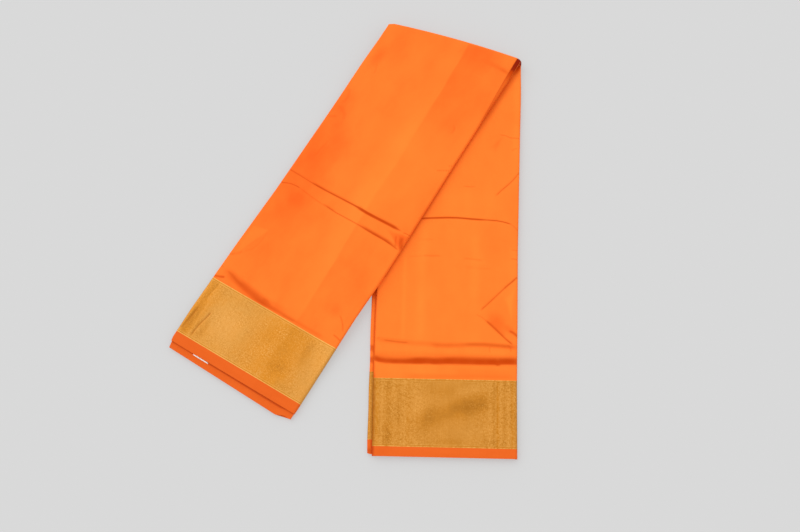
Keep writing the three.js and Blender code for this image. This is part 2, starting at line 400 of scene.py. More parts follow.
@dataclass(frozen=True)
class Facet:
    """A flat triangle of painted light and shade between creases, lighter or darker as the facet tilts, with an
    amount at each corner.
    """

    leg: Leg
    corners: tuple
    amounts: tuple[float, float, float]
    soft: float = 0.12

    def at(self, u: np.ndarray, v: np.ndarray) -> np.ndarray:
        """The facet's share at points of its leg.

        Args:
            u: distances across the strip.
            v: distances from the fold.

        Returns:
            Shares, below 0 where it is darker.
        """
        (u0, v0), (u1, v1), (u2, v2) = self.corners
        area = (v1 - v2) * (u0 - u2) + (u2 - u1) * (v0 - v2)
        first = ((v1 - v2) * (u - u2) + (u2 - u1) * (v - v2)) / area
        second = ((v2 - v0) * (u - u2) + (u0 - u2) * (v - v2)) / area
        third = 1.0 - first - second
        inside = smooth(np.minimum(np.minimum(first, second), third) / self.soft)
        a, b, c = self.amounts
        return inside * (a * first + b * second + c * third)


@dataclass(frozen=True)
class Lane:
    """A lengthwise band of painted light and shade, where the silk tilts gently along the leg.

    rows hold a distance from the fold, a distance across and an amount; left and right are the
    runs over which the band fades on each side.
    """

    leg: Leg
    rows: tuple
    left: float
    right: float

    def at(self, u: np.ndarray, v: np.ndarray) -> np.ndarray:
        """The band's share at points of its leg.

        Args:
            u: distances across the strip.
            v: distances from the fold.

        Returns:
            Shares, below 0 where it is darker.
        """
        table = np.array(self.rows)
        gap = u - np.interp(v, table[:, 0], table[:, 1])
        amount = np.interp(v, table[:, 0], table[:, 2])
        return amount * smooth(1.0 - np.abs(gap) / np.where(gap < 0.0, self.left, self.right))


UP, LOW = Leg.UPPER, Leg.LOWER
# painted shade at which a crease has its full shade colour; more than that is the deeper painted shade of a
# pocket
FULL_CREASE = 0.8
SHARP_EDGE = math.radians(50.0)
# spacing of the rows at creases across the leg and at slanting ones, and the reach beside them
FINE_ROW = 0.8
SLANT_ROW = 1.3
ROW_MARGIN = 2.0

# painted light and shade on flat facets between creases, darker or lighter as each facet tilts
FACETS = [Facet(*row) for row in (
    (LOW, ((173, 398), (192, 382), (188, 444)), (0.5, 0.9, 0.9), 0.3),
    (UP, ((160, 268), (197, 260), (196, 288)), (-0.2, -0.8, -1.2), 0.15),
    (UP, ((4, 358), (27, 352), (6, 410)), (0.25, 0.35, 0.3), 0.06),
    (LOW, ((176, 158), (160, 200), (146, 184)), (-0.5, -0.5, -0.3), 0.3),
)]

# lengthwise bands of painted light and shade, where the silk tilts gently along the leg
LANES = [Lane(*row) for row in (
    (UP, ((-30, 116.8, 0.16), (0, 118.2, 0.2), (60, 120.6, 0.32), (100, 121.4, 0.48), (125, 122.2, 0.8),
          (155, 123.4, 0.95), (180, 124.2, 0.9), (230, 122.6, 0.85), (262, 123, 0.75), (300, 123.4, 0.55),
          (330, 125, 0.45), (370, 127, 0.5), (420, 129, 0.4), (446, 129, 0.1)), 42.0, 2.4),
    (UP, ((-45, 118.6, -0.38), (0, 120, -0.38), (60, 122.4, -0.33), (95, 123, -0.2), (125, 124.2, 0.2),
          (150, 125.2, 0.5), (180, 126.2, 0.4), (240, 124.6, 0.3), (262, 125, 0.2), (300, 125.4, -0.15),
          (360, 128, -0.25), (430, 130, -0.15)), 1.8, 84.0),
    (UP, ((90, 0, 0.0), (115, 0, -0.2), (150, 0, -0.4), (200, 14, -0.55), (250, 20, -0.65),
          (300, 20, -0.55), (345, 24, -0.3), (400, 40, -0.25), (430, 40, -0.1)), 60.0, 66.0),
    (LOW, ((0, 98, 0.34), (620, 98, 0.34)), 240.0, 240.0),
    (LOW, ((342, 42.5, 0.0), (358, 42.5, 0.5), (455, 43.5, 0.45), (468, 43.5, 0.0)), 4.2, 4.2),
    (LOW, ((300, 66, 0.0), (325, 66, 0.35), (450, 66, 0.4), (466, 66, 0.1)), 12.0, 10.0),
    (LOW, ((300, 137, 0.0), (320, 137, 0.35), (400, 137, 0.3), (440, 137, 0.0)), 11.0, 11.0),
    (LOW, ((310, 187, 0.0), (335, 187, 0.3), (380, 187, 0.3), (400, 187, 0.0)), 9.0, 9.0),
    (LOW, ((55, 189, 0.0), (80, 189, 0.4), (170, 189, 0.35), (215, 189, 0.0)), 8.0, 8.0),
)]

# creases: relief, with painted shade along each line
CREASES = [Crease(*row) for row in (
    # the upper leg's two pressed lines across, and the pucker between their right ends
    (UP, ((-3, 263.2), (20, 263.3), (40, 263.4), (62, 262.8), (85, 262.2), (118, 262.2), (130, 262.8),
          (150, 261.8), (165, 260.6), (182, 260.2)), -0.6, 2.4, 7.0, 0.6, 1.3, 5),
    (UP, ((36, 263.2), (62, 262.9), (85, 262.3), (118, 262.2), (130, 262.6), (150, 261.6), (165, 260.6),
          (181, 260.3)), 0.0, 1.0, 1.0, 0.92, 2.2, 12),
    (UP, ((110, 262.4), (128, 263), (140, 262.4), (158, 261.2), (178, 260.4)),
     0.0, 1.0, 1.0, 1.0, 3.3, 12, 0.0, 1.3),
    (UP, ((185, 261.2), (188, 260.2), (197, 259.4)), -0.3, 1.5, 3.0, 0.6, 1.2, 2),
    (UP, ((-3, 286), (3, 284.8), (8, 282.3), (14, 280), (22, 278.9), (29, 279)),
     -0.4, 4.0, 2.5, 0.75, 1.4, 5),
    (UP, ((28, 279), (42, 280.6), (58, 282), (70, 282.8)), -0.3, 4.0, 2.5, 0.32, 1.6, 8),
    (UP, ((66, 282.4), (76, 281.6), (88, 282.4)), -0.2, 3.0, 3.0, 0.4, 2.6, 6),
    (UP, ((72, 282.2), (90, 283.4), (110, 283.4), (128, 283.4), (145, 283.6), (165, 283.2), (178, 284),
          (193, 285.8)), -0.5, 7.0, 2.2, 0.62, 1.6, 8),
    (UP, ((124, 283.8), (150, 283.8), (170, 283.4), (193, 285.2)), 0.0, 1.0, 1.0, 0.88, 2.4, 26, 5.5),
    (UP, ((179, 269), (183, 278), (187, 284.6)), -0.2, 2.0, 2.0, 0.4, 2.4, 4),
    (UP, ((187, 266), (190, 275), (197, 284)), -0.3, 3.5, 3.5, 0.7, 5.0, 5),
    (UP, ((181.5, 267), (186.5, 275.5), (192, 285)), 0.9, 1.4, 1.4, 0.0, 1.0, 3),
    # the broad sag above the upper gold border
    (UP, ((6, 431), (20, 433.4), (30, 435.4), (45, 437), (60, 438.6), (76, 440), (92, 440)),
     -0.8, 9.0, 8.0, 0.54, 9.0, 22, 8.0),
    (UP, ((9.5, 431.8), (14, 431.4), (21, 433), (30, 436), (44, 438.4)), 0.0, 1.0, 1.0, 0.3, 3.0, 8),
    (UP, ((22, 437), (40, 439.6), (58, 441.6), (78, 443), (96, 443)), 0.0, 1.0, 1.0, 0.36, 6.0, 26, 6.0),
    (UP, ((46, 444), (66, 445.2), (92, 443.4), (124, 442.4)), -0.1, 3.0, 3.0, 0.4, 4.0, 34, 6.0),
    (UP, ((72, 439), (80, 438.2), (88, 439.4)), 0.0, 1.0, 1.0, 0.34, 3.8, 6),
    (UP, ((84, 436), (98, 437.4), (116, 436)), -0.2, 5.0, 5.0, 0.16, 7.0, 16),
    (UP, ((106, 444), (118, 443.2), (130, 442)), -0.1, 2.0, 2.0, 0.36, 2.6, 8, 4.0),
    (UP, ((60, 444.6), (110, 442), (140, 441.4), (176, 440.6)), 0.0, 1.0, 1.0, 0.3, 3.0, 16, 5.0),
    (UP, ((-3, 446.6), (3, 445.6), (9, 443.2), (15, 440.2)), -0.4, 2.5, 2.5, 0.78, 2.6, 4, 3.2),
    # short creases at the upper leg's edges
    (UP, ((-3, 412), (4, 408.6), (12, 401.5), (14, 396)), -0.3, 2.0, 2.0, 0.26, 2.2, 5, 3.2),
    (UP, ((27, 356), (26.6, 374), (23, 388), (14, 398)), -0.2, 2.0, 2.0, 0.14, 1.6, 8),
    (UP, ((174, 403), (180, 407), (186, 413.5), (190.5, 421)), -0.4, 3.0, 2.0, 0.45, 1.4, 4),
    (UP, ((181, 430), (188, 431), (195, 432.8)), -0.4, 2.0, 2.0, 0.5, 1.8, 3),
    (UP, ((-2, 427), (5, 431)), -0.3, 1.5, 1.5, 0.4, 1.1, 2),
    (UP, ((3, 120), (8, 117.5), (12, 126), (11, 136), (5, 140)), -0.4, 3.4, 3.4, 0.17, 3.4, 6),
    (UP, ((5, 146), (14, 147.5), (22, 152), (25, 163)), -0.4, 4.0, 4.0, 0.16, 4.2, 8, 4.6),
    (UP, ((3, 167), (9, 163), (15, 160)), -0.4, 3.0, 3.0, 0.2, 2.8, 5),
    (UP, ((5, 143), (12, 143.4), (21, 147)), 0.5, 2.4, 2.4, 0.0, 1.0, 4),
    (UP, ((24, 198), (21, 212), (20, 230)), -0.2, 2.0, 2.0, 0.16, 1.6, 6),
    (UP, ((164, 87), (167.5, 92), (167, 101)), -0.3, 2.0, 2.0, 0.32, 1.6, 3),
    (UP, ((178, 159), (186, 154), (194, 149.6)), -0.3, 1.6, 1.6, 0.5, 1.0, 3),
    (UP, ((188, 145), (194, 141)), -0.3, 1.6, 1.6, 0.35, 1.0, 2),
    (UP, ((150, -21), (168, -23.5), (193, -25)), -0.4, 6.0, 6.0, 0.26, 6.0, 22, 6.0),
    (UP, ((174, -24), (192, -24)), -0.2, 4.0, 4.0, 0.3, 4.6, 10),
    (UP, ((20, 62), (24, 72), (25, 80)), -0.2, 2.0, 2.0, 0.16, 1.8, 5),
    # lengthwise creases in the upper gold border
    (UP, ((13, 449), (12, 458), (10.6, 468), (10.6, 482)), -0.35, 1.6, 1.6, 0.42, 1.1, 6),
    (UP, ((26.5, 490), (25, 500), (22, 512), (20.4, 524), (20.2, 531)),
     -0.6, 1.6, 2.6, 0.85, 1.5, 5, 1.8),
    (UP, ((8, 492), (6.5, 505), (5, 518), (3.5, 531)), -0.5, 2.0, 2.0, 0.6, 2.4, 8, 2.8),
    (UP, ((15, 488), (14, 497), (13, 506)), -0.2, 1.4, 1.4, 0.2, 1.1, 4),
    # the lower leg's pressed line, and the slanting ones at its right
    (LOW, ((58, 295), (66, 293.2), (80, 292), (97, 290.7), (110, 290.4), (128, 291.3), (150, 291.7),
           (165, 292.2), (174, 293.6), (181, 295.4), (187, 297.8)), -0.6, 2.2, 6.0, 0.9, 1.5, 9),
    (LOW, ((54, 296), (64, 293.6), (80, 292.4), (97, 291.2), (110, 290.8), (130, 291.6), (150, 292)),
     0.0, 1.0, 1.0, 0.9, 2.3, 14),
    (LOW, ((186, 297.6), (190, 301), (195, 307)), -0.3, 1.6, 2.0, 0.4, 1.1, 3),
    (LOW, ((196, 218), (193, 221.5), (186, 231.5), (178, 240), (170, 247.5), (162, 256.5)),
     -0.5, 2.0, 3.5, 0.72, 1.4, 7),
    (LOW, ((195, 370.6), (188, 378.2), (178, 387), (168, 397.5), (156, 410), (145, 421)),
     -0.6, 2.0, 4.0, 0.76, 1.6, 7),
    (LOW, ((194, 371.6), (184, 381), (176, 389)), 0.0, 1.0, 1.0, 0.6, 1.6, 3),
    (LOW, ((153, 435.5), (162, 443.4), (170, 450.2), (178, 456.8)), 0.0, 1.0, 1.0, 0.3, 1.8, 8, 10.0),
    (LOW, ((139.5, 426.6), (147, 429.6), (154, 435.6)), -0.3, 2.0, 1.6, 0.34, 1.1, 3),
    (LOW, ((152, 433.8), (160, 440.6), (168, 448), (176, 455.6), (183, 461.6), (189, 466)),
     -0.7, 6.0, 2.2, 0.7, 1.7, 5, 3.0),
    (LOW, ((182, 446), (189, 449.4), (196, 455)), 0.8, 5.0, 2.0, 0.72, 3.2, 5, 2.6),
    # the shallow sag above the tuck
    (LOW, ((8, 466), (14, 463.6)), -0.2, 1.5, 1.5, 0.3, 1.4, 2),
    (LOW, ((17, 467.2), (26, 467.9), (36, 468.8), (52, 469.4)), -0.3, 2.0, 2.0, 0.46, 1.8, 6),
    (LOW, ((78, 470), (88, 471.4), (104, 471), (126, 469.6)), -0.3, 4.0, 4.0, 0.26, 5.0, 14, 4.6),
    (LOW, ((118, 469.4), (134, 467.8), (150, 467.2), (166, 467.6), (180, 468.2), (197, 469.8)),
     -0.3, 2.6, 2.6, 0.46, 4.6, 18, 3.0),
    (LOW, ((6, 467), (60, 469.8), (100, 470.4), (150, 467.8), (198, 468.8)),
     -0.8, 5.5, 4.5, 0.24, 5.6, 14, 5.0),
    (LOW, ((159, 469), (157.6, 473), (159, 478)), -0.2, 1.5, 1.5, 0.35, 1.2, 2),
    (LOW, ((182, 466), (186, 470), (186, 476)), -0.2, 1.5, 1.5, 0.3, 1.3, 2),
    # the tuck above the lower gold border: it hangs over and shades itself
    (LOW, ((-4, 481.5), (80, 481), (199, 478)), 1.0, 7.0, 5.0, 0.0, 1.0, 14),
    (LOW, ((-4, 492.6), (10, 494), (34, 495.2), (60, 494.4), (100, 492.8), (140, 491.4), (165, 490.4),
           (199, 489.4)), -1.3, 8.0, 3.8, 0.62, 5.0, 5, 11.0),
    (LOW, ((-4, 491.4), (6, 491.8), (13, 494.6), (22, 495.6), (34, 495.4), (48, 495), (62, 494),
           (80, 493.4)), 0.0, 1.0, 1.0, 0.9, 4.4, 20, 5.6, 1.2),
    (LOW, ((50, 494.8), (62, 494), (75, 493.2), (86, 493.8), (94, 493.2), (102, 492.4), (115, 492.2),
           (130, 491.8), (150, 491.4), (165, 490.8), (169, 491.8), (173, 490.2), (180, 489.4),
           (199, 488.8)), 0.0, 1.0, 1.0, 1.0, 4.8, 14, 7.8, 1.3),
    (LOW, ((92, 489), (120, 487.4), (160, 486.6), (199, 485.6)), 0.0, 1.0, 1.0, 0.3, 6.0, 26, 6.6),
    (LOW, ((44, 514.6), (80, 513.4), (120, 512), (150, 510.6), (198, 510)),
     0.0, 1.0, 1.0, 0.24, 4.0, 22, 6.0),
    (LOW, ((108, 506), (150, 505), (198, 504)), 0.0, 1.0, 1.0, 0.12, 8.0, 24, 8.0),
    # short creases of the lower leg
    (LOW, ((117, 243.6), (126, 244.4), (134, 243.4)), -0.3, 1.5, 1.5, 0.4, 1.0, 3),
    (LOW, ((118, 241), (133, 240.6)), 0.3, 1.5, 1.5, 0.0, 1.0, 3),
    (LOW, ((166, 163.4), (174, 164.4), (181, 167.6), (195, 168)), -0.3, 1.5, 1.5, 0.5, 1.0, 3),
    (LOW, ((183, 187.5), (187, 184.5), (191, 183.2)), -0.3, 1.5, 1.5, 0.35, 1.0, 2),
    (LOW, ((66, 347.8), (91, 346.8)), -0.3, 2.0, 2.0, 0.26, 1.7, 4),
    (LOW, ((44, 349.4), (68, 348)), -0.2, 2.0, 2.0, 0.12, 1.7, 6),
    (LOW, ((56, 325.2), (82, 324)), -0.2, 2.0, 2.0, 0.12, 1.7, 6),
    (LOW, ((120, 348.6), (148, 350.4)), -0.3, 2.0, 2.0, 0.16, 2.2, 6),
    (LOW, ((122, 361.6), (160, 361.2)), -0.3, 2.0, 2.0, 0.2, 1.9, 6),
    (LOW, ((122, 356), (150, 355)), 0.35, 3.0, 3.0, 0.0, 1.0, 6),
    (LOW, ((172, 322), (184, 322)), -0.2, 1.5, 1.5, 0.16, 1.3, 3),
    (LOW, ((186, 333.4), (195, 334.6)), -0.3, 1.5, 1.5, 0.35, 1.1, 2),
    (LOW, ((185, 346), (195, 347.2)), -0.3, 1.5, 1.5, 0.5, 1.1, 2),
)]

# broad shallow ones on the legs' undersides, with painted shade along them
UNDER_CREASES = [Crease(*row) for row in (
    (UP, ((-4, 118), (52, 124), (118, 121), (199, 128)), -0.5, 10.0, 8.0, 0.3, 6.5, 26),
    (UP, ((-4, 286), (70, 279), (140, 283), (199, 276)), -0.6, 12.0, 8.0, 0.42, 7.0, 18),
    (UP, ((30, 402), (96, 409), (170, 404)), -0.4, 9.0, 9.0, 0.24, 7.0, 30),
    (LOW, ((-4, 172), (84, 166), (199, 174)), -0.5, 11.0, 8.0, 0.34, 7.0, 22),
    (LOW, ((20, 338), (90, 331), (182, 336)), -0.4, 9.0, 9.0, 0.26, 6.5, 28),
    (LOW, ((-4, 489), (66, 494), (130, 490), (199, 493)), -0.6, 12.0, 8.0, 0.4, 7.0, 16),
)]

# patches of painted light and shade: on the silk where its surface tilts, on the gold borders their sheen
TONES = [Tone(*row) for row in (
    (UP, 16, 56, 14, 28, -0.4),
    (UP, 36, 30, 26, 34, -0.25),
    (UP, 16, 140, 22, 44, -0.3),
    (UP, 66, 140, 44, 44, 0.25),
    (UP, 40, 214, 40, 50, -0.1),
    (UP, 28, 294, 26, 18, -0.26, 30),
    (UP, 166, 402, 18, 16, -0.45),
    (UP, 66, 441, 70, 12, -0.4, 0),
    (UP, 110, -20, 130, 34, -0.3),
    (UP, 50, 494, 38, 48, 0.5),
    (UP, 180, 500, 40, 60, 0.2),
    (UP, 9, 512, 12, 40, -0.5),
    (UP, 30, 512, 7, 30, -0.45),
    (UP, 164, 470, 9, 34, -0.35),
    (UP, 145, 506, 22, 18, -0.35, -20),
    (UP, 110, 476, 18, 30, -0.2, 30),
    (LOW, 120, 262, 66, 34, 0.3),
    (LOW, 163, 325, 20, 54, -0.2),
    (LOW, 166, 435, 26, 16, -0.8, 42),
    (LOW, 184, 445, 12, 8, -0.5, 30),
    (LOW, 100, 488, 150, 10, -0.5),
    (LOW, 40, 505, 50, 10, 0.2),
    (LOW, 130, 551, 44, 20, -0.9, -20),
    (LOW, 78, 570, 36, 20, -0.5, -24),
    (LOW, 100, 560, 64, 20, -0.3, -22),
    (LOW, 150, 545, 14, 22, -0.5),
    (LOW, 96, 532, 34, 12, -0.35),
    (LOW, 132, 528, 30, 9, 0.35, -14),
    (LOW, 130, 582, 40, 13, 0.3, -10),
    (LOW, 66, 545, 20, 22, 0.3),
    (LOW, 108, 598, 34, 8, -0.3),
    (LOW, 26, 592, 14, 30, -0.4),
    (LOW, 16, 614, 14, 8, -0.6),
)]


@dataclass(frozen=True)
class SoftCloth:
    """How the pressed cloth departs from flat: creases, ripples and lengthwise ridges, with the painted shade
    and painted light and shade laid on it.
    """

    ripple: float = 0.14
    waves: int = 9
    wave_lengths: tuple[float, float] = (28.0, 95.0)
    seed: int = 11
    # lengthwise ridges: distance across, height and half width
    ridges: tuple = ((121.0, 0.25, 30.0), (48.0, -0.25, 30.0))

    def relief(self, leg: Leg, u: np.ndarray, v: np.ndarray) -> tuple[np.ndarray, np.ndarray, np.ndarray]:
        """Height, painted shade and tone (painted light and shade) of the cloth at points of a leg.

        Args:
            leg: the leg.
            u: distances across the strip.
            v: distances from the fold along the left edge.

        Returns:
            Heights in millimetres, painted shade from 0 to FULL_CREASE, and tone, painted light and shade, from
            -1 to 1.
        """
        v = FORM.down(leg, u, v)
        height, dark, tone = np.zeros(u.shape), np.zeros(u.shape), np.zeros(u.shape)
        for crease in CREASES:
            if crease.leg is leg:
                rise, painted_shade = crease.relief(u, v)
                height += rise
                dark = dark + painted_shade - dark * painted_shade
        for shape in (*TONES, *LANES, *FACETS):
            if shape.leg is leg:
                tone += shape.at(u, v)
        for at, lift, half in self.ridges:
            height += lift * smooth(1.0 - np.abs(u - at) / half)
        rng = np.random.default_rng(self.seed + (0 if leg is Leg.UPPER else 1))
        for _ in range(self.waves):
            heading, length = rng.uniform(0.0, math.pi), rng.uniform(*self.wave_lengths)
            start = rng.uniform(0.0, 2.0 * math.pi)
            wave = (u * math.cos(heading) + v * math.sin(heading)) * 2.0 * math.pi / length
            height += self.ripple * np.sin(wave + start) / math.sqrt(self.waves)
        return height, np.clip(dark, 0.0, 1.0) * FULL_CREASE, np.clip(tone, -1.0, 1.0)

    def underside(self, leg: Leg, u: np.ndarray, v: np.ndarray) -> tuple[np.ndarray, np.ndarray]:
        """How far the underside is drawn up at its creases, and their painted shade.

        Args:
            leg: the leg.
            u: distances across the strip.
            v: distances from the fold along the left edge.

        Returns:
            Heights in millimetres and painted shade from 0 to FULL_CREASE.
        """
        down = FORM.down(leg, u, v)
        rise, dark = np.zeros(u.shape), np.zeros(u.shape)
        for crease in UNDER_CREASES:
            if crease.leg is leg:
                lift, painted_shade = crease.relief(u, down)
                rise -= lift
                dark = np.maximum(dark, painted_shade)
        return rise, dark * FULL_CREASE


@dataclass(frozen=True)
class Crevice:
    """The painted shadow of the upper leg on the lower leg along its right edge: a thin line, a wedge wider
    near the fold, and deeper painted shade in the fold's pocket.
    """

    line: float = 1.3
    line_shadow: float = 0.34
    wedge: float = 9.0
    wedge_shadow: float = 0.28
    wedge_rise: float = 40.0
    wedge_from: float = 72.0
    wedge_run: float = 40.0
    wedge_start: float = 0.6
    pocket: float = 7.0
    pocket_run: float = 24.0
    until: float = 330.0
    samples: int = 90

    def dark(self, points: np.ndarray) -> np.ndarray:
        """How much painted shadow the crevice lays on points of the lower leg.

        Args:
            points: positions in metres.

        Returns:
            Painted shadow from 0 to 1.
        """
        v = np.linspace(0.0, self.until, self.samples)
        edge = FORM.on_leg(UP, np.full(v.shape, FORM.width), v, np.full(v.shape, FORM.bundle), 0.0 * v)
        x, y = points[..., 0] / MM, points[..., 1] / MM
        best = np.full(x.shape, 1e9)
        run = np.zeros(x.shape)
        ends = edge[:, :2] / MM
        for (x0, y0), (x1, y1), start in zip(ends, ends[1:], v):
            length = math.hypot(x1 - x0, y1 - y0)
            dx, dy = (x1 - x0) / length, (y1 - y0) / length
            t = np.clip((x - x0) * dx + (y - y0) * dy, 0.0, length)
            gap = np.hypot(x - x0 - t * dx, y - y0 - t * dy)
            closer = gap < best
            best = np.where(closer, gap, best)
            run = np.where(closer, start + t, run)
        line = self.line_shadow * smooth(1.0 - (best - 0.5) / self.line)
        share = self.wedge_start + (1.0 - self.wedge_start) * smooth(run / self.wedge_rise)
        share = share * (1.0 - smooth((run - self.wedge_from) / self.wedge_run))
        wedge = self.wedge_shadow * share * smooth(1.1 - best / self.wedge)
        pocket = smooth(1.0 - best / self.pocket) * (1.0 - smooth(run / self.pocket_run))
        return np.maximum(np.maximum(line, wedge), pocket)


# ---- meshes


def grid_faces(rows: int, columns: int, first: int = 0, closed: bool = False) -> list[tuple[int, ...]]:
    """The faces of a grid of points laid out row by row.

    Args:
        rows: how many rows the grid has.
        columns: how many points a row has.
        first: the index of the grid's first point.
        closed: whether each row closes on itself.

    Returns:
        The corner indices of each face.
    """
    index = first + np.arange(rows * columns).reshape(rows, columns)
    if closed:
        index = np.concatenate([index, index[:, :1]], axis=1)
    corners = (index[:-1, :-1], index[1:, :-1], index[1:, 1:], index[:-1, 1:])
    return [tuple(face) for face in np.stack([c.ravel() for c in corners], axis=1).tolist()]


def as_rows(count: int, *tables: np.ndarray) -> list[np.ndarray]:
    """Each table repeated as the rows of a grid."""
    return [np.repeat(table[None, :], count, axis=0) for table in tables]


def as_columns(count: int, table: np.ndarray) -> np.ndarray:
    """A table repeated as the columns of a grid."""
    return np.repeat(table[:, None], count, axis=1)


def make_object(
    name: str, points: np.ndarray, faces: list, attributes: dict[str, np.ndarray]
) -> bpy.types.Object:
    """A smooth-shaded mesh object with point attributes, its place in its mesh.

    Args:
        name: the object's name.
        points: positions in metres.
        faces: corner indices of each face.
        attributes: values or vectors for each point, by name.

    Returns:
        The new object, linked to the scene.
    """
    mesh = bpy.data.meshes.new(name)
    mesh.from_pydata(points.reshape(-1, 3).tolist(), [], faces)
    mesh.update()
    for label, values in attributes.items():
        vector = values.ndim == 2
        layer = mesh.attributes.new(label, "FLOAT_VECTOR" if vector else "FLOAT", "POINT")
        layer.data.foreach_set("vector" if vector else "value", values.astype(np.float32).ravel())
    mesh.shade_smooth()
    mesh.set_sharp_from_angle(angle=SHARP_EDGE)
    made = bpy.data.objects.new(name, mesh)
    bpy.context.scene.collection.objects.link(made)
    return made


@dataclass
class Patch:
    """A grid of points with what is laid on the cloth at each: strip coordinates, painted shade (dark) and
    painted light and shade (tone).
    """

    points: np.ndarray
    strip: np.ndarray
    dark: np.ndarray
    tone: np.ndarray

    def attributes(self, copies: int) -> dict[str, np.ndarray]:
        """The point attributes, repeated for each copy of the grid."""
        return {
            "strip": np.tile(self.strip.reshape(-1, 3), (copies, 1)),
            "dark": np.tile(self.dark.ravel(), copies),
            "tone": np.tile(self.tone.ravel(), copies),
        }

    def turned(self) -> "Patch":
        """The same grid with its rows in the opposite order."""
        return Patch(self.points[::-1], self.strip[::-1], self.dark[::-1], self.tone[::-1])

    def normals(self) -> np.ndarray:
        """Finds the way the grid faces.

        Returns:
            A unit normal for each point, by rows and columns.
        """
        along = np.gradient(self.points, axis=0)
        across = np.gradient(self.points, axis=1)
        normal = np.cross(along, across)
        return normal / np.maximum(np.linalg.norm(normal, axis=-1, keepdims=True), 1e-12)

    def shell(self, name: str, wall: float) -> bpy.types.Object:
        """A closed thin shell that has this grid as its outer face.

        Args:
            name: the object's name.
            wall: thickness in millimetres.

        Returns:
            The shell's object.
        """
        rows, columns = self.dark.shape
        inner = self.points - self.normals() * wall * MM
        count = rows * columns
        faces = grid_faces(rows, columns)
        faces += [face[::-1] for face in grid_faces(rows, columns, count)]
        index = np.arange(count).reshape(rows, columns)
        rim = np.concatenate([index[:, 0], index[-1, 1:], index[-2::-1, -1], index[0, -2:0:-1]]).tolist()
        for a, b in zip(rim, rim[1:] + rim[:1]):
            faces.append((b, a, a + count, b + count))
        both = np.concatenate([self.points.reshape(-1, 3), inner.reshape(-1, 3)])
        return make_object(name, both, faces, self.attributes(2))


@dataclass(frozen=True)
class TopPlySection:
    """The top ply's section: round its left fold, over the top and round the right edge.

    left is where its left fold lies, tuck the depth of that fold, step the spacing of points, and
    fine the spans across where fine_step takes its place.
    """

    form: StripForm
    left: float
    tuck: float
    fine: tuple[tuple[float, float], ...]
    step: float = 1.9
    fine_step: float = 1.15
    lap: float = 5.0
    right_end: float = -78.0
    side_steps: int = 9
    lap_steps: int = 4

    def points(self) -> tuple[np.ndarray, np.ndarray, np.ndarray]:
        """The section's points.

        Returns:
            Distances across, depths below the top, and the distance run along the cloth.
        """
        form = self.form
        half = self.tuck / 2.0
        turns = np.radians(np.linspace(270.0, 90.0, self.side_steps))
        left_u = self.left + form.left_round * (1.0 + np.cos(turns))
        left_d = half * (1.0 - np.sin(turns))
        hub = form.width - form.right_round
        start = self.left + form.left_round
        lap = np.linspace(start + self.lap, start, self.lap_steps)[:-1]
        columns = [start]
        while columns[-1] < hub - self.fine_step:
            close = any(low <= columns[-1] <= high for low, high in self.fine)
            columns.append(columns[-1] + (self.fine_step if close else self.step))
        top = np.array(columns[1:-1])
        turns = np.radians(np.linspace(90.0, self.right_end, self.side_steps + 3))
        right_u = hub + form.right_round * np.cos(turns)
        right_d = form.stack / 2.0 * (1.0 - np.sin(turns))
        u = np.concatenate([lap, left_u, top, right_u])
        d = np.concatenate([np.full(lap.shape, self.tuck), left_d, np.zeros(top.shape), right_d])
        run = np.concatenate([[0.0], np.cumsum(np.hypot(np.diff(u), np.diff(d)))])
        at_top = np.searchsorted(u[len(lap) + self.side_steps :], form.width / 2.0) + len(lap) + self.side_steps
        return u, d, run - run[at_top] + u[at_top]


def rows_between(start: float, stop: float, leg: Leg, step: float, marked: float = 0.3) -> np.ndarray:
    """Distances along a leg for a grid's rows: even steps, closer where creases lie.

    Args:
        start: the first distance.
        stop: the last distance.
        leg: the leg whose creases count.
        step: the plain spacing.
        marked: the painted shade from which a crease counts.

    Returns:
        The distances in order.
    """
    bands = []
    for crease in CREASES:
        if crease.leg is not leg or crease.painted_shade < marked:
            continue
        us, vs = (np.array(x, dtype=float) for x in zip(*crease.path))
        across = np.ptp(vs) < 0.5 * np.ptp(us)
        v = vs - (FORM.down(leg, us, vs) - vs)
        for _ in range(4):
            v += vs - FORM.down(leg, us, v)
        bands.append((v.min() - ROW_MARGIN, v.max() + ROW_MARGIN, FINE_ROW if across else SLANT_ROW))
    rows = [start]
    while rows[-1] < stop:
        rows.append(rows[-1] + min([step] + [fine for low, high, fine in bands if low <= rows[-1] <= high]))
    rows[-1] = stop
    if rows[-1] - rows[-2] < FINE_ROW / 2.0:
        rows.pop(-2)
    return np.array(rows)


# ---- node trees


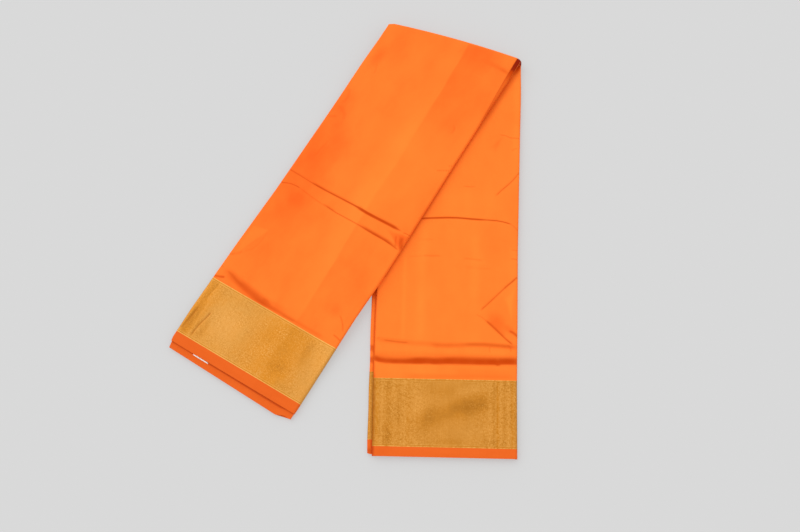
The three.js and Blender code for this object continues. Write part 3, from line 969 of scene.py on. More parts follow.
@dataclass(frozen=True)
class Value:
    """An output socket that can be used in Python arithmetic."""

    graph: "Graph"
    socket: bpy.types.NodeSocket

    def _math(self, operation: str, *others: "Value | float") -> "Value":
        """A Math node on this value and others."""
        values = dict(enumerate((self, *others)))
        return self.graph.node("ShaderNodeMath", {"operation": operation}, values)

    def __add__(self, other: "Value | float") -> "Value":
        """The sum."""
        return self._math("ADD", other)

    __radd__ = __add__

    def __mul__(self, other: "Value | float") -> "Value":
        """The product."""
        return self._math("MULTIPLY", other)

    __rmul__ = __mul__

    def __sub__(self, other: "Value | float") -> "Value":
        """The difference."""
        return self._math("SUBTRACT", other)

    def __rsub__(self, other: float) -> "Value":
        """A number less this value."""
        return self.graph.node("ShaderNodeMath", {"operation": "SUBTRACT"}, {0: other, 1: self})

    def __truediv__(self, other: "Value | float") -> "Value":
        """The quotient."""
        return self._math("DIVIDE", other)

    def __neg__(self) -> "Value":
        """This value turned round."""
        return self._math("MULTIPLY", -1.0)

    def sine(self) -> "Value":
        """The sine."""
        return self._math("SINE")

    def size(self) -> "Value":
        """The value without its sign."""
        return self._math("ABSOLUTE")

    def least(self, other: "Value | float") -> "Value":
        """The smaller of two."""
        return self._math("MINIMUM", other)

    def over(self, other: "Value | float") -> "Value":
        """1 where this value is greater than another, else 0."""
        return self._math("GREATER_THAN", other)

    def ramp(self, low: float, high: float) -> "Value":
        """A smooth step from 0 at low to 1 at high."""
        settings = {"interpolation_type": "SMOOTHSTEP"}
        return self.graph.node("ShaderNodeMapRange", settings, {0: self, 1: low, 2: high, 3: 0.0, 4: 1.0})

    def bump_at(self, centre: float, half: float) -> "Value":
        """1 at a centre, falling smoothly to 0 at half each side."""
        return (1.0 - (self - centre).size() / half).ramp(0.0, 1.0)


class Graph:
    """Builds one node tree."""

    def __init__(self, tree: bpy.types.NodeTree) -> None:
        """Starts from an empty tree."""
        self.tree = tree
        tree.nodes.clear()

    def node(
        self,
        kind: str,
        settings: dict | None = None,
        values: dict | None = None,
        output: int | str = 0,
    ) -> Value:
        """Adds a node, sets it up and feeds its sockets.

        Args:
            kind: the node's type.
            settings: properties set before its sockets are fed.
            values: numbers, colours or links, by socket name or number.
            output: which output to return.

        Returns:
            The chosen output.
        """
        made = self.tree.nodes.new(kind)
        for label, setting in (settings or {}).items():
            setattr(made, label, setting)
        for key, value in (values or {}).items():
            if isinstance(value, Value):
                self.tree.links.new(value.socket, made.inputs[key])
            else:
                made.inputs[key].default_value = value
        return Value(self, made.outputs[output]) if made.outputs else Value(self, None)

    def attribute(self, label: str, output: str = "Fac") -> Value:
        """A point attribute of the piece."""
        return self.node("ShaderNodeAttribute", {"attribute_name": label}, output=output)

    def noise(self, place: Value, scale: float, detail: float = 2.0, rough: float = 0.5) -> Value:
        """Noise from 0 to 1 at a place."""
        values = {"Vector": place, "Scale": scale, "Detail": detail, "Roughness": rough}
        return self.node("ShaderNodeTexNoise", None, values)

    def spot(self, x: Value | float, y: Value | float, z: Value | float = 0.0) -> Value:
        """A vector from three values."""
        return self.node("ShaderNodeCombineXYZ", None, {0: x, 1: y, 2: z})

    def bump(self, strength: float, relief: float, height: Value) -> Value:
        """A normal for a height, by its strength and its relief in millimetres."""
        values = {"Strength": strength, "Distance": relief * MM, "Height": height}
        return self.node("ShaderNodeBump", None, values)

    def tones(self, tone: Value, deep: tuple, plain: "Value | tuple", light: tuple) -> Value:
        """The colour of a tone: deep at 0, plain at a half and light at 1."""
        return self.blend(tone * 2.0 - 1.0, self.blend(tone * 2.0, deep, plain), light)

    def blend(self, share: Value | float, first: "Value | tuple", second: "Value | tuple") -> Value:
        """The mix of two colours."""
        settings = {"data_type": "RGBA", "clamp_factor": True}
        return self.node("ShaderNodeMix", settings, {0: share, 6: first, 7: second}, output=2)


def rgb(red: float, green: float, blue: float) -> tuple[float, float, float, float]:
    """A linear colour as a socket takes it."""
    return (red, green, blue, 1.0)


# ---- finishes


@dataclass(frozen=True)
class WovenGround:
    """Where a point lies on the cloth, as the finishes read it."""

    across: Value
    along: Value
    # dark carries painted shade, tone painted light and shade
    dark: Value
    tone: Value

    @staticmethod
    def read(graph: Graph) -> "WovenGround":
        """Reads the piece's own attributes.

        Args:
            graph: the material's tree.

        Returns:
            What the finishes read.
        """
        strip = graph.attribute("strip", "Vector")
        split = "ShaderNodeSeparateXYZ"
        across = graph.node(split, None, {0: strip}, output=0)
        along = graph.node(split, None, {0: strip}, output=1)
        return WovenGround(across, along, graph.attribute("dark"), graph.attribute("tone"))

    def noise(self, across: float, along: float, detail: float, rough: float) -> Value:
        """Noise over the cloth, by its scales across and along it."""
        graph = self.across.graph
        return graph.noise(graph.spot(self.across * across, self.along * along), 1.0, detail, rough)

    def creased(self) -> Value:
        """How far the point has the painted shade colour of a crease."""
        return (self.dark / FULL_CREASE).least(1.0)


@dataclass(frozen=True)
class SilkWeave:
    """Plain-weave soft silk: fine threads both ways, slubs, and a quiet sheen."""

    # tones of the silk: the tone attribute brings painted light and shade into them, the noises the silk's own
    # unevenness
    light: tuple = rgb(0.94, 0.212, 0.026)
    plain: tuple = rgb(0.92, 0.174, 0.020)
    deep: tuple = rgb(0.84, 0.108, 0.010)
    # painted shade in creases, and deeper painted shade in pockets
    crease: tuple = rgb(0.53, 0.050, 0.0)
    pocket: tuple = rgb(0.24, 0.010, 0.0)
    thread: float = 0.42
    thread_share: float = 0.03
    # noises: scales across and along, detail and roughness, each with its share of the tone
    slubs: tuple = (1.1, 0.05, 3.0, 0.6)
    slub_share: float = 0.09
    clouds: tuple = (0.02, 0.012, 2.0, 0.5)
    cloud_share: float = 0.45
    patches: tuple = (0.05, 0.03, 3.0, 0.55)
    patch_share: float = 0.35
    pocket_from: float = FULL_CREASE + 0.03
    roughness: float = 0.5
    rough_share: float = 0.12
    sheen: float = 0.08
    relief: float = 0.10
    bump: float = 0.35

    def surface(self, graph: Graph, ground: WovenGround) -> Value:
        """The silk's shader on a piece of cloth.

        Args:
            graph: the material's tree.
            ground: where the point lies.

        Returns:
            The shader output.
        """
        turn = 2.0 * math.pi / self.thread
        warp = (ground.along * turn).sine()
        weft = (ground.across * turn).sine()
        weave = warp * weft
        across, along, detail, rough = self.slubs
        lengthwise = ground.noise(across, along, detail, rough)
        crosswise = ground.noise(along, across, detail, rough)
        slubs = (lengthwise + crosswise - 1.0) * self.slub_share
        clouds = (ground.noise(*self.clouds) - 0.5) * self.cloud_share
        patches = (ground.noise(*self.patches) - 0.5) * self.patch_share
        # the painted light and shade of the tone attribute, with the silk's own unevenness
        tone = ground.tone * 0.5 + 0.5 + clouds + patches + slubs + weave * self.thread_share
        base = graph.tones(tone, self.deep, self.plain, self.light)
        # painted shade in creases, then deeper painted shade in pockets
        base = graph.blend(ground.creased(), base, self.crease)
        base = graph.blend(ground.dark.ramp(self.pocket_from, 1.0), base, self.pocket)
        height = weave * 0.5 + slubs * 4.0
        normal = graph.bump(self.bump, self.relief, height)
        rough = (crosswise - 0.5) * self.rough_share + self.roughness
        values = {
            "Base Color": base,
            "Roughness": rough,
            "Normal": normal,
            "IOR": 1.45,
            "Specular IOR Level": 0.05,
            "Sheen Weight": self.sheen,
            "Sheen Roughness": 0.45,
            "Sheen Tint": rgb(1.0, 0.5, 0.15),
        }
        return graph.node("ShaderNodeBsdfPrincipled", None, values)


@dataclass(frozen=True)
class ZariWeave:
    """Gold thread border: a fine diamond ground, edge cords, and streaks along the leg.

    streaks are rows of distance across, half width, brightness and how broken into dots each is;
    warms are rows of distance across, half width and share of the redder gold; calm is where
    the speckle rests: distance across, half width and share. Each noise has its scales, detail
    and roughness; cords are rows of distance in from the border's edge, half width and share.
    """

    light: tuple = rgb(0.70, 0.335, 0.080)
    plain: tuple = rgb(0.575, 0.255, 0.044)
    warm: tuple = rgb(0.59, 0.215, 0.014)
    deep: tuple = rgb(0.40, 0.140, 0.008)
    # painted shade in creases
    crease: tuple = rgb(0.33, 0.092, 0.0)
    cord: tuple = rgb(0.80, 0.42, 0.10)
    streaks: tuple = ()
    warms: tuple = ()
    diamond: float = 1.9
    depth: float = 88.0
    drifting: tuple = (0.11, 2.0, 0.6)
    drift: float = 3.0
    fineness: tuple = (0.5, 2.0, 0.85)
    mottles: tuple = (0.035, 3.0, 0.6)
    grits: tuple = (0.26, 2.0, 0.7)
    rough_patches: tuple = (0.045, 2.0, 0.5)
    rough_ramp: tuple[float, float] = (0.35, 0.7)
    rough_least: float = 0.2
    painted_glints: tuple = (0.62, 1.0, 0.6)
    spark_ramp: tuple[float, float] = (0.58, 0.74)
    combs: tuple = (0.4, 0.03, 3.0, 0.65)
    dotting: tuple = (0.4, 0.45, 2.0, 0.8)
    dot_ramp: tuple[float, float] = (0.44, 0.6)
    warmth: float = 0.2
    warm_mottling: float = 1.5
    tone_share: float = 0.45
    cord_breaks: tuple = (0.22, 0.3, 3.0, 0.75)
    cords: tuple = ((0.6, 0.9, 1.0), (3.1, 0.7, 0.5))
    gap_at: tuple[float, float] = (1.9, 1.0)
    bump: float = 0.5
    relief: float = 0.15
    metal: float = 0.3
    roughness: float = 0.42
    grain: float = 0.06
    speckle: float = 1.5
    grit: float = 0.3
    level: float = 0.5
    mottling: float = 0.6
    combing: float = 0.3
    calm: tuple = (0.0, 1.0, 0.0)
    sparkle: float = 0.35
    cord_share: float = 0.8
    cord_gap: tuple[float, float] = (0.35, 0.6)
    gap: tuple = rgb(0.50, 0.17, 0.008)
    gap_share: float = 0.7

    def surface(self, graph: Graph, ground: WovenGround) -> Value:
        """The border's shader on a piece of cloth.

        Args:
            graph: the material's tree.
            ground: where the point lies.

        Returns:
            The shader output.
        """
        across, along = ground.across, ground.along
        place, crossed = graph.spot(across, along), graph.spot(along, across)
        drift = graph.noise(place, *self.drifting) * self.drift
        turn = math.pi / self.diamond
        diamonds = ((across + along + drift) * turn).sine() * ((across - along + drift) * turn).sine()
        fine = graph.noise(place, *self.fineness) - 0.5
        mottle = graph.noise(place, *self.mottles) - 0.5
        grit = graph.noise(place, *self.grits) - 0.5
        rough_spots = graph.noise(crossed, *self.rough_patches).ramp(*self.rough_ramp)
        rough_spots = rough_spots * (1.0 - self.rough_least) + self.rough_least
        combed = ground.noise(*self.combs) - 0.5
        dots = ground.noise(*self.dotting).ramp(*self.dot_ramp)
        at, half, share = self.calm
        lively = 1.0 - across.bump_at(at, half) * share
        speckle = fine * rough_spots * self.speckle + grit * self.grit
        # the tone attribute brings painted light and shade, on the gold its sheen; the noises its own
        # unevenness
        tone = ground.tone * self.tone_share + self.level + mottle * self.mottling + combed * self.combing
        tone = tone + diamonds * self.grain + speckle * lively
        for at, half, amount, broken in self.streaks:
            streak = (across + drift * 0.5).bump_at(at, half)
            tone = tone + streak * (dots * broken + (1.0 - broken)) * amount
        warmth = mottle * self.warm_mottling + self.warmth
        for at, half, amount in self.warms:
            warmth = warmth + across.bump_at(at, half) * amount
        base = graph.tones(tone, self.deep, graph.blend(warmth, self.plain, self.warm), self.light)
        # painted glints: sparse bright dots in the cord's colour
        painted_glints = graph.noise(crossed, *self.painted_glints).ramp(*self.spark_ramp)
        base = graph.blend(painted_glints * lively * self.sparkle, base, self.cord)
        inward = along.least(self.depth - along)
        base = graph.blend(inward.bump_at(*self.gap_at) * self.gap_share, base, self.gap)
        cords = sum(inward.bump_at(at, half) * share for at, half, share in self.cords)
        broken = ground.noise(*self.cord_breaks).ramp(*self.cord_gap)
        base = graph.blend(cords * broken * self.cord_share, base, self.cord)
        base = graph.blend(ground.creased(), base, self.crease)
        height = diamonds * 0.4 + fine * 2.0 + cords
        normal = graph.bump(self.bump, self.relief, height)
        values = {
            "Base Color": base,
            "Metallic": self.metal + fine * 0.3,
            "Roughness": self.roughness + mottle * 0.15,
            "Specular IOR Level": 0.12,
            "Normal": normal,
        }
        return graph.node("ShaderNodeBsdfPrincipled", None, values)


@dataclass(frozen=True)
class SelvedgeWeave:
    """The dense silk edge outside a border: close ribs along the leg and thin lines across it."""

    plain: tuple = rgb(0.735, 0.122, 0.014)
    deep: tuple = rgb(0.60, 0.078, 0.005)
    # painted shade in creases
    crease: tuple = rgb(0.40, 0.03, 0.001)
    rib: float = 0.6
    line: float = 1.4
    # noises: scales across and along, detail and roughness, each with its share of the tone
    frays: tuple = (0.5, 0.1, 3.0, 0.6)
    fray_share: float = 0.25
    clouds: tuple = (0.03, 0.1, 2.0, 0.5)
    cloud_share: float = 0.5
    line_share: float = 0.05
    level: float = 0.75
    roughness: float = 0.58
    bump: float = 0.35
    relief: float = 0.1

    def surface(self, graph: Graph, ground: WovenGround) -> Value:
        """The selvedge's shader on a piece of cloth.

        Args:
            graph: the material's tree.
            ground: where the point lies.

        Returns:
            The shader output.
        """
        ribs = (ground.across * (2.0 * math.pi / self.rib)).sine()
        lines = (ground.along * (2.0 * math.pi / self.line)).sine()
        fray = ground.noise(*self.frays)
        cloud = (ground.noise(*self.clouds) - 0.5) * self.cloud_share
        # the tone attribute brings painted light and shade, and creases their painted shade
        share = ground.tone * 0.4 + self.level + cloud + (fray - 0.5) * self.fray_share
        base = graph.blend(share + lines * self.line_share, self.deep, self.plain)
        base = graph.blend(ground.creased(), base, self.crease)
        height = ribs * 0.4 + lines * 0.3 + fray * 0.5
        normal = graph.bump(self.bump, self.relief, height)
        values = {
            "Base Color": base,
            "Roughness": self.roughness + (fray - 0.5) * 0.1,
            "Normal": normal,
            "Specular IOR Level": 0.05,
            "Sheen Weight": 0.05,
            "Sheen Roughness": 0.5,
            "Sheen Tint": rgb(1.0, 0.5, 0.2),
        }
        return graph.node("ShaderNodeBsdfPrincipled", None, values)


@dataclass(frozen=True)
class CottonThread:
    """White tacking thread."""

    pale: tuple = rgb(0.93, 0.88, 0.84)
    shade: tuple = rgb(0.78, 0.66, 0.58)
    fuzz: tuple = (2500.0, 3.0, 0.6)
    bump: float = 0.4
    relief: float = 0.1

    def surface(self, graph: Graph) -> Value:
        """The thread's shader, from the place on the piece.

        Args:
            graph: the material's tree.

        Returns:
            The shader output.
        """
        place = graph.node("ShaderNodeTexCoord", output="Object")
        fuzz = graph.noise(place, *self.fuzz)
        base = graph.blend(fuzz.ramp(0.3, 0.7), self.shade, self.pale)
        normal = graph.bump(self.bump, self.relief, fuzz)
        values = {"Base Color": base, "Roughness": 0.8 - fuzz * 0.1, "Normal": normal, "Sheen Weight": 0.3}
        return graph.node("ShaderNodeBsdfPrincipled", None, values)


@dataclass(frozen=True)
class PaleFloor:
    """A plain pale studio surface, lit partly from within so that shadows on it stay faint."""

    grey: tuple = rgb(0.563, 0.563, 0.563)
    glow: tuple = rgb(0.693, 0.693, 0.693)
    glow_share: float = 0.55

    def surface(self, graph: Graph) -> Value:
        """The floor's shader.

        Args:
            graph: the material's tree.

        Returns:
            The shader output.
        """
        matt = graph.node("ShaderNodeBsdfDiffuse", None, {"Color": self.grey})
        even = graph.node("ShaderNodeEmission", None, {"Color": self.glow})
        return graph.node("ShaderNodeMixShader", None, {0: self.glow_share, 1: matt, 2: even})


class Finishes:
    """Makes each material once and hands it out by name."""

    def __init__(self) -> None:
        """Sets out the cloth's weaves."""
        self.silk = SilkWeave()
        self.upper_zari = ZariWeave(
            streaks=((17.0, 3.0, 0.1, 0.0), (8.0, 5.0, -0.2, 0.3)),
            warms=((130.0, 62.0, 0.9), (10.0, 22.0, 0.6)),
            speckle=1.9,
            grit=0.5,
            level=0.54,
            mottling=0.35,
            cord_gap=(0.25, 0.5),
        )
        self.lower_zari = ZariWeave(
            light=rgb(0.62, 0.268, 0.046),
            plain=rgb(0.49, 0.188, 0.018),
            warm=rgb(0.52, 0.185, 0.010),
            deep=rgb(0.36, 0.125, 0.006),
            streaks=(
                (18.5, 3.0, 0.32, 0.5),
                (27.0, 5.0, -0.2, 0.6),
                (34.0, 2.6, 0.3, 1.0),
                (41.0, 3.0, -0.14, 0.6),
                (48.5, 2.6, 0.32, 0.9),
                (62.0, 4.0, 0.22, 1.0),
                (159.5, 3.2, 0.34, 1.0),
                (165.0, 2.4, -0.26, 0.8),
                (169.5, 2.0, -0.32, 0.7),
                (174.0, 2.8, 0.48, 1.0),
                (179.0, 2.0, -0.22, 0.8),
                (184.0, 2.8, 0.48, 1.0),
                (188.5, 2.0, -0.26, 0.7),
            ),
            warms=((11.0, 5.0, 0.9), (169.5, 3.0, 0.9), (188.5, 3.0, 0.8), (52.0, 4.0, 0.3)),
            speckle=2.4,
            grit=1.2,
            calm=(108.0, 62.0, 0.75),
            sparkle=0.55,
            level=0.56,
            cord_gap=(0.42, 0.6),
        )
        self.selvedge = SelvedgeWeave()
        self._made: dict[str, bpy.types.Material] = {}

    def _new(self, name: str) -> tuple[bpy.types.Material, Graph]:
        """An empty material and its graph.

        Args:
            name: the material's name.

        Returns:
            The material and the graph of its tree.
        """
        made = bpy.data.materials.new(name)
        made.use_nodes = True
        self._made[name] = made
        return made, Graph(made.node_tree)

    def of(self, name: str, *weaves: object) -> bpy.types.Material:
        """A material from one weave, or from field, border and selvedge by region.

        Args:
            name: the material's name.
            weaves: one finish, or the three weaves of the whole cloth.

        Returns:
            The material.
        """
        if name in self._made:
            return self._made[name]
        made, graph = self._new(name)
        if isinstance(weaves[0], (CottonThread, PaleFloor)):
            shader = weaves[0].surface(graph)
        else:
            ground = WovenGround.read(graph)
            shaders = [weave.surface(graph, ground) for weave in weaves]
            shader = shaders[0]
            if len(shaders) > 1:
                border = ground.along.over(0.0)
                edge = ground.along.over(FORM.upper.woven_border)
                shader = graph.node("ShaderNodeMixShader", None, {0: border, 1: shader, 2: shaders[1]})
                shader = graph.node("ShaderNodeMixShader", None, {0: edge, 1: shader, 2: shaders[2]})
        graph.node("ShaderNodeOutputMaterial", None, {0: shader})
        return made

    def plies(self) -> bpy.types.Material:
        """The material of the hidden plies, which shows the whole cloth."""
        return self.of("plies", self.silk, self.lower_zari, self.selvedge)


FORM = StripForm()
SOFT = SoftCloth()
CREVICE = Crevice()


def cloth_patch(leg: Leg, u: np.ndarray, v: np.ndarray, depth: np.ndarray, across: np.ndarray,
                square: np.ndarray | float = 0.0, shift: float = 0.0) -> Patch:
    """A grid of cloth on a leg.

    Args:
        leg: the leg.
        u: distances across, by row and column.
        v: distances from the fold.
        depth: depths below the leg's top.
        across: distances across as woven, for the weave.
        square: how squarely the plies lie past the upper end.
        shift: how much further out the weave is on this ply.

    Returns:
        The patch.
    """
    lift, dark, tone = SOFT.relief(leg, u, v)
    fade = smooth((FORM.bundle - depth) / FORM.bundle)
    woven = FORM.ends(leg).woven(v) + shift
    points = FORM.on_leg(leg, u, v, depth, lift, square)
    # the upper leg's painted shadow on the lower leg
    if leg is Leg.LOWER:
        dark = np.maximum(dark, CREVICE.dark(points))
    return Patch(points, np.stack([across, woven, depth], axis=-1), dark * fade, tone)


def join_patches(patches: list[Patch]) -> Patch:
    """One grid from grids that follow each other along the strip."""
    fields = ("points", "strip", "dark", "tone")
    return Patch(*(np.concatenate([getattr(p, f) for p in patches], axis=0) for f in fields))


# ---- sub-assemblies


@dataclass
class TopPly:
    """The ply that shows on one leg: field, gold border and selvedge, as thin shells."""

    leg: Leg
    finishes: Finishes
    wall: float = 0.5
    field_step: float = 2.3
    edge_step: float = 1.5
    # spans across with closer columns, and how much thinner than a bundle the upper left fold is
    upper_fine: tuple = ((0.0, 33.0), (172.0, 195.0))
    lower_fine: tuple = ((140.0, 195.0),)
    tuck_gap: float = 0.15
    fold_steps: int = 14
    tuck_under: float = 2.0
    inner_start: float = 3.0
    # painted shade along the lower leg's left fold: distance from the fold, strength and width
    edge_shade: tuple = (
        (380.0, 0.45, 1.8),
        (470.0, 0.42, 1.8),
        (510.0, 0.5, 2.2),
        (530.0, 0.8, 4.4),
        (600.0, 0.8, 4.4),
        (618.0, 0.7, 2.8),
    )
    # the painted shade's raggedness: its depth and two beats along the leg
    ragged: tuple[float, float, float] = (0.15, 7.0, 3.1)
    end_droop: float = 0.7
    droop_run: float = 7.0
    # painted shade of the fold's deep corner and of the top ply's right side near the fold: reaches, run and
    # strength
    corner_pocket: float = 7.0
    corner_line: float = 1.6
    corner_line_run: float = 110.0
    corner_line_shade: float = 0.5

    @property
    def section(self) -> TopPlySection:
        """The section of this leg's top ply.

        Returns:
            The section, with closer columns where creases run down the leg.
        """
        if self.leg is Leg.UPPER:
            return TopPlySection(FORM, 0.0, FORM.bundle - self.tuck_gap, self.upper_fine)
        return TopPlySection(FORM, FORM.bundle_step, FORM.bundle / 2.0, self.lower_fine)

    def _rows(self, vs: np.ndarray) -> Patch:
        """The grid of the top ply at distances along the leg.

        Args:
            vs: the distances, one for each row.

        Returns:
            The grid.
        """
        u, d, run = self.section.points()
        v = as_columns(len(u), vs)
        u, d, run = as_rows(len(vs), u, d, run)
        end = FORM.ends(self.leg).end
        share = 1.0 - smooth(v / FORM.pull_run) if self.leg is Leg.UPPER else np.zeros(v.shape)
        patch = cloth_patch(self.leg, FORM.pulled(u, share), v, d, run)
        if self.leg is Leg.UPPER:
            # painted shade on the top ply's right side near the fold
            edge = smooth((1.0 - (FORM.width - u) / self.corner_line) * 1.6) * smooth(2.0 - d / 2.0)
            painted_shade = self.corner_line_shade * (1.0 - smooth(v / self.corner_line_run))
            patch.dark = np.maximum(patch.dark, edge * painted_shade)
        if self.leg is Leg.LOWER:
            # painted shade along the left fold, where the top ply steps down to the plies below
            stations, painted_shades, lines = (np.array(x) for x in zip(*self.edge_shade))
            line = np.interp(v, stations, lines)
            edge = smooth(1.0 - (u - self.section.left - 0.5) / line) * (u < FORM.width / 2.0)
            deep, slow, quick = self.ragged
            ragged = 1.0 - deep + deep * np.sin(v / slow) * np.sin(v / quick + 1.0)
            patch.dark = np.maximum(patch.dark, edge * ragged * np.interp(v, stations, painted_shades))
        droop = self.end_droop * np.clip(1.0 - (end - v) / self.droop_run, 0.0, 1.0) ** 2
        patch.points[..., 2] -= droop * MM * smooth((FORM.bundle - d) / FORM.bundle)
        return patch

    def _corner(self, u: np.ndarray, angle: np.ndarray) -> np.ndarray:
        """Painted shade of the deep corner where the lower half of the fold meets the right edge, narrowing to
        a line higher round the fold.

        Args:
            u: distances across the strip.
            angle: angles round the fold.

        Returns:
            Painted shade from 0 to 1.
        """
        below = 1.0 - smooth(angle / math.pi * 2.0 - 1.0)
        reach = self.corner_line + (self.corner_pocket - self.corner_line) * below
        return smooth((1.0 - (FORM.width - u) / reach) * 1.6)

    def _round_fold(self) -> list[Patch]:
        """The grids round the fold and just under the lower leg.

        Returns:
            The two grids in order.
        """
        u, d, run = self.section.points()
        angles = np.linspace(math.pi, 0.0, self.fold_steps)[1:]
        angle = as_columns(len(u), angles)
        bend_u, bend_d, bend_run = as_rows(len(angles), u, d, run)
        arc = FORM.core * (1.0 + FORM.flatten) / 2.0
        woven = -FORM.upper.border - arc * (math.pi - angle)
        drawn = FORM.pulled(bend_u, smooth(angle / math.pi * 2.0 - 1.0))
        bend = Patch(
            FORM.round_fold(drawn, angle, bend_d),
            np.stack([bend_run, woven, bend_d], axis=-1),
            self._corner(bend_u, angle),
            np.zeros(bend_u.shape),
        )
        vs = np.linspace(0.0, self.tuck_under, 3)[1:]
        v = as_columns(len(u), vs)
        u, d, run = as_rows(len(vs), u, d, run)
        flat = np.zeros(u.shape)
        points = FORM.on_leg(Leg.LOWER, u, v, FORM.stack - d, flat)
        under = -FORM.upper.border - arc * math.pi - v
        return [bend, Patch(points, np.stack([run, under, d], axis=-1), flat, flat)]

    def build(self) -> list[tuple[bpy.types.Object, str, tuple[float, float]]]:
        """Returns:
            Each piece with the node it stands for and its flat size in metres.
        """
        ends = FORM.ends(self.leg)
        start = 0.0 if self.leg is Leg.UPPER else self.inner_start
        spans = {
            Region.FIELD: (start, ends.border),
            Region.BORDER: (ends.border, ends.selvedge),
            Region.SELVEDGE: (ends.selvedge, ends.end),
        }
        zari = self.finishes.upper_zari if self.leg is Leg.UPPER else self.finishes.lower_zari
        weaves = {
            Region.FIELD: self.finishes.silk,
            Region.BORDER: zari,
            Region.SELVEDGE: self.finishes.selvedge,
        }
        slots = {Region.FIELD: "silk", Region.BORDER: "zari", Region.SELVEDGE: "selvedge"}
        run = self.section.points()[2]
        width = run[-1] - run[0]
        made = []
        for region, (low, high) in spans.items():
            step = self.field_step if region is Region.FIELD else self.edge_step
            vs = rows_between(low, high, self.leg, step)
            patch = self._rows(vs)
            length = high - low
            if self.leg is Leg.UPPER:
                patch = self._rows(vs[::-1])
                if region is Region.FIELD:
                    patch = join_patches([patch, *self._round_fold()])
                    length += math.pi * FORM.core * (1.0 + FORM.flatten) / 2.0 + self.tuck_under
            if patch.normals()[len(vs) // 2, patch.dark.shape[1] // 2, 2] < 0.0:
                patch = patch.turned()
            node = f"{self.leg.value}_{region.value}"
            piece = patch.shell(f"{node}_cloth", self.wall)
            label = f"{self.leg.value}_zari" if region is Region.BORDER else slots[region]
            piece.data.materials.append(self.finishes.of(label, weaves[region]))
            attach(piece, ROOT)
            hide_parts(node)
            flat = (round(width * MM, 3), round(length * MM, 3))
            made.append((piece, node, flat))
        return made


